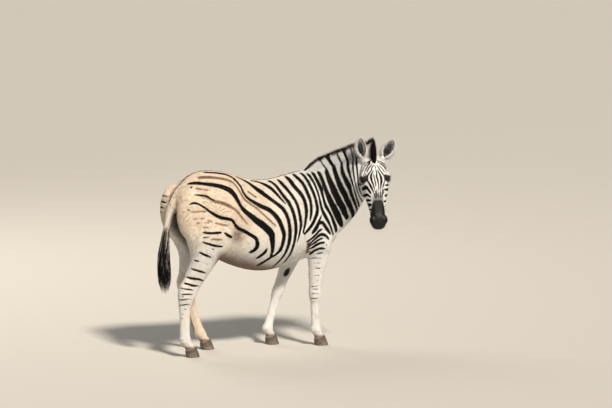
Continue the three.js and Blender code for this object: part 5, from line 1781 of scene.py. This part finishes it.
def growWhiskers():
    count = whiskers["count"]
    at = inHead(skinSurface.middles)
    chance = skinSurface.areas * (at[:, 0] > 436) * (headWeight(skinSurface.middles) > 0.9)
    chance = chance * smoothstep(20, -40, at[:, 2])
    which = random.choice(len(chance), count, p=chance / chance.sum())
    corners = skinSurface.corners[which]
    roots, up = skinSurface.points[corners].mean(1), unit(skinSurface.normals[corners].mean(1))
    low, high = whiskers["longMm"]
    long = (low + (high - low) * random.random((count, 1)) ** 2) / 1000
    way = unit(up + 0.35 * random.normal(size=up.shape) + headTurn @ np.array((0.5, 0, -0.3)))
    droop = np.array((0, 0, 0.22)) * long
    paths = np.stack([roots + way * long * t - droop * t ** 2 for t in (0, 0.35, 0.7, 1)], 1)
    zero = np.zeros(count)
    values = {
        "mark": np.where(random.random(count) < 0.3, 30, -20),
        "bare": zero, "warm": zero, "hang": zero + 1, "brown": zero, "shade": zero,
    }
    wide = np.full((count, 3), 0.00035) * (1, 0.85, 0.6)
    flat = skinSurface.flat[skinSurface.loops[which][:, 0]]
    return hairPiece("muzzle_whiskers", paths, wide, up, values, flat, hideMaterial, 0.9)


eyeMaterial = wetEye()
eyePieces = {"eye_right": makeEye(-1, "right", eyeMaterial), "eye_left": makeEye(1, "left", eyeMaterial)}
finePieces = growLashes() + [growWhiskers()]
print("eyes, lashes and whiskers made")

# Hooves: a horn wall with growth rings round it, a rounded rim and a flat sole on the floor.
hoof = {
    "top": 62, "upper": (43, 39, 40, 20), "sole": (54, 50, 49, 0),  # front, back, side, lean at each end
    "rings": 7, "ringMm": 0.5, "horn": "#3d3632", "pale": "#6d6258", "dust": "#8d7f6e",
}


def hoofHorn():  # dull horn, grown downwards: streaks run down it and rings go round, dusty near the ground
    made, tree, shader = startMaterial("dullHoofHorn")
    streaks = grainOf(tree, (3.0, 3.0, 60), 3.0)
    blotches = grainOf(tree, (22, 22, 14), 3.0)
    colour = mixed(tree, ranged(tree, streaks, 0.35, 0.75), hoof["horn"], hoof["pale"])
    dusty = counted(tree, "MULTIPLY", valueOf(tree, "low"), ranged(tree, blotches, 0.35, 0.65))
    colour = mixed(tree, dusty, colour, hoof["dust"])
    tree.links.new(colour, shader.inputs["Base Color"])
    bump = addNode(tree, "ShaderNodeBump", {"Height": streaks, "Strength": 0.3, "Distance": 0.0008})
    tree.links.new(bump.outputs[0], shader.inputs["Normal"])
    shader.inputs["Roughness"].default_value = 0.55
    shader.inputs["IOR"].default_value = 1.54
    return made


def makeHoof(name, material):
    top, sole = np.array(legs["joints"][name][4:6], float)
    first, last = np.array(hoof["upper"]), np.array(hoof["sole"])
    downs = np.concatenate([[0.02, 0.05], np.linspace(0.09, 0.95, 26), [0.975, 0.99, 1.0]])
    rows = []
    for down in downs:
        front, back, side, lean = first + (last - first) * down
        wave = hoof["ringMm"] * math.sin(down * hoof["rings"] * 2 * math.pi) * (1 - down) ** 0.5
        round_ = -3.0 * smoothstep(0.955, 1.0, down) - 1.6 * smoothstep(0.06, 0.0, down) + wave
        middle = top + (sole - top) * down
        middle[2] = hoof["top"] * (1 - down)
        sizes = [reach + round_ - 0.5 for reach in (side, front, back)]
        rows.append(station(middle, (0, lean - 90), sizes, (2.1, 2.3)))
    rings = loft(np.array(rows), 56)
    rings[..., 2] = np.maximum(rings[..., 2], 0.0)
    rings[-1, :, 2] = 0.0
    verts, faces = closedLoft(rings)
    verts[-1, 2] = 0.0
    mesh = newMesh(f"hoof_wall_{name}", verts, faces)
    smoothShaded(mesh)
    giveValues(mesh, {"low": 1 - np.clip(verts[:, 2] / 0.05, 0, 1) * 0.9})
    return newObject(f"hoof_wall_{name}", mesh, material)


hornMaterial = hoofHorn()
hoofPieces = {f"{name}_hoof": makeHoof(name, hornMaterial) for name in legRowsOf}
print("hooves made")

# Every mesh moves from the body's frame to the row's, and stands for its own nodes.
flesh = ["trunk", "neck", "head", "muzzle", "tail_dock"]
flesh += [f"{name}_{part}" for name in legRowsOf for part in ("upper", "lower")]


def settle(piece, nodes):
    piece.data.transform(Matrix.Translation(toRow))
    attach(piece, "root")
    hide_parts(*nodes)


for piece in [skinPiece] + coatPieces:
    settle(piece, flesh)
for piece in finePieces:
    settle(piece, ["muzzle"] if "whiskers" in piece.name else ["head"])
for node, group in earPieces.items():
    for piece in group:
        settle(piece, [node])
for node, piece in eyePieces.items():
    settle(piece, [node])
for node, piece in hoofPieces.items():
    settle(piece, [node])
settle(manePiece, ["mane"])
settle(tailPiece, ["tail_tuft"])

total = 0
for thing in bpy.context.scene.objects:
    if thing.type == "MESH" and not thing.hide_render:
        thing.data.calc_loop_triangles()
        count = len(thing.data.loop_triangles)
        total += count
        print(f"{thing.name}: {count} triangles")
print("whole model:", total, "triangles")

bpy.context.scene.view_settings.view_transform = "Standard"
low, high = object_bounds()
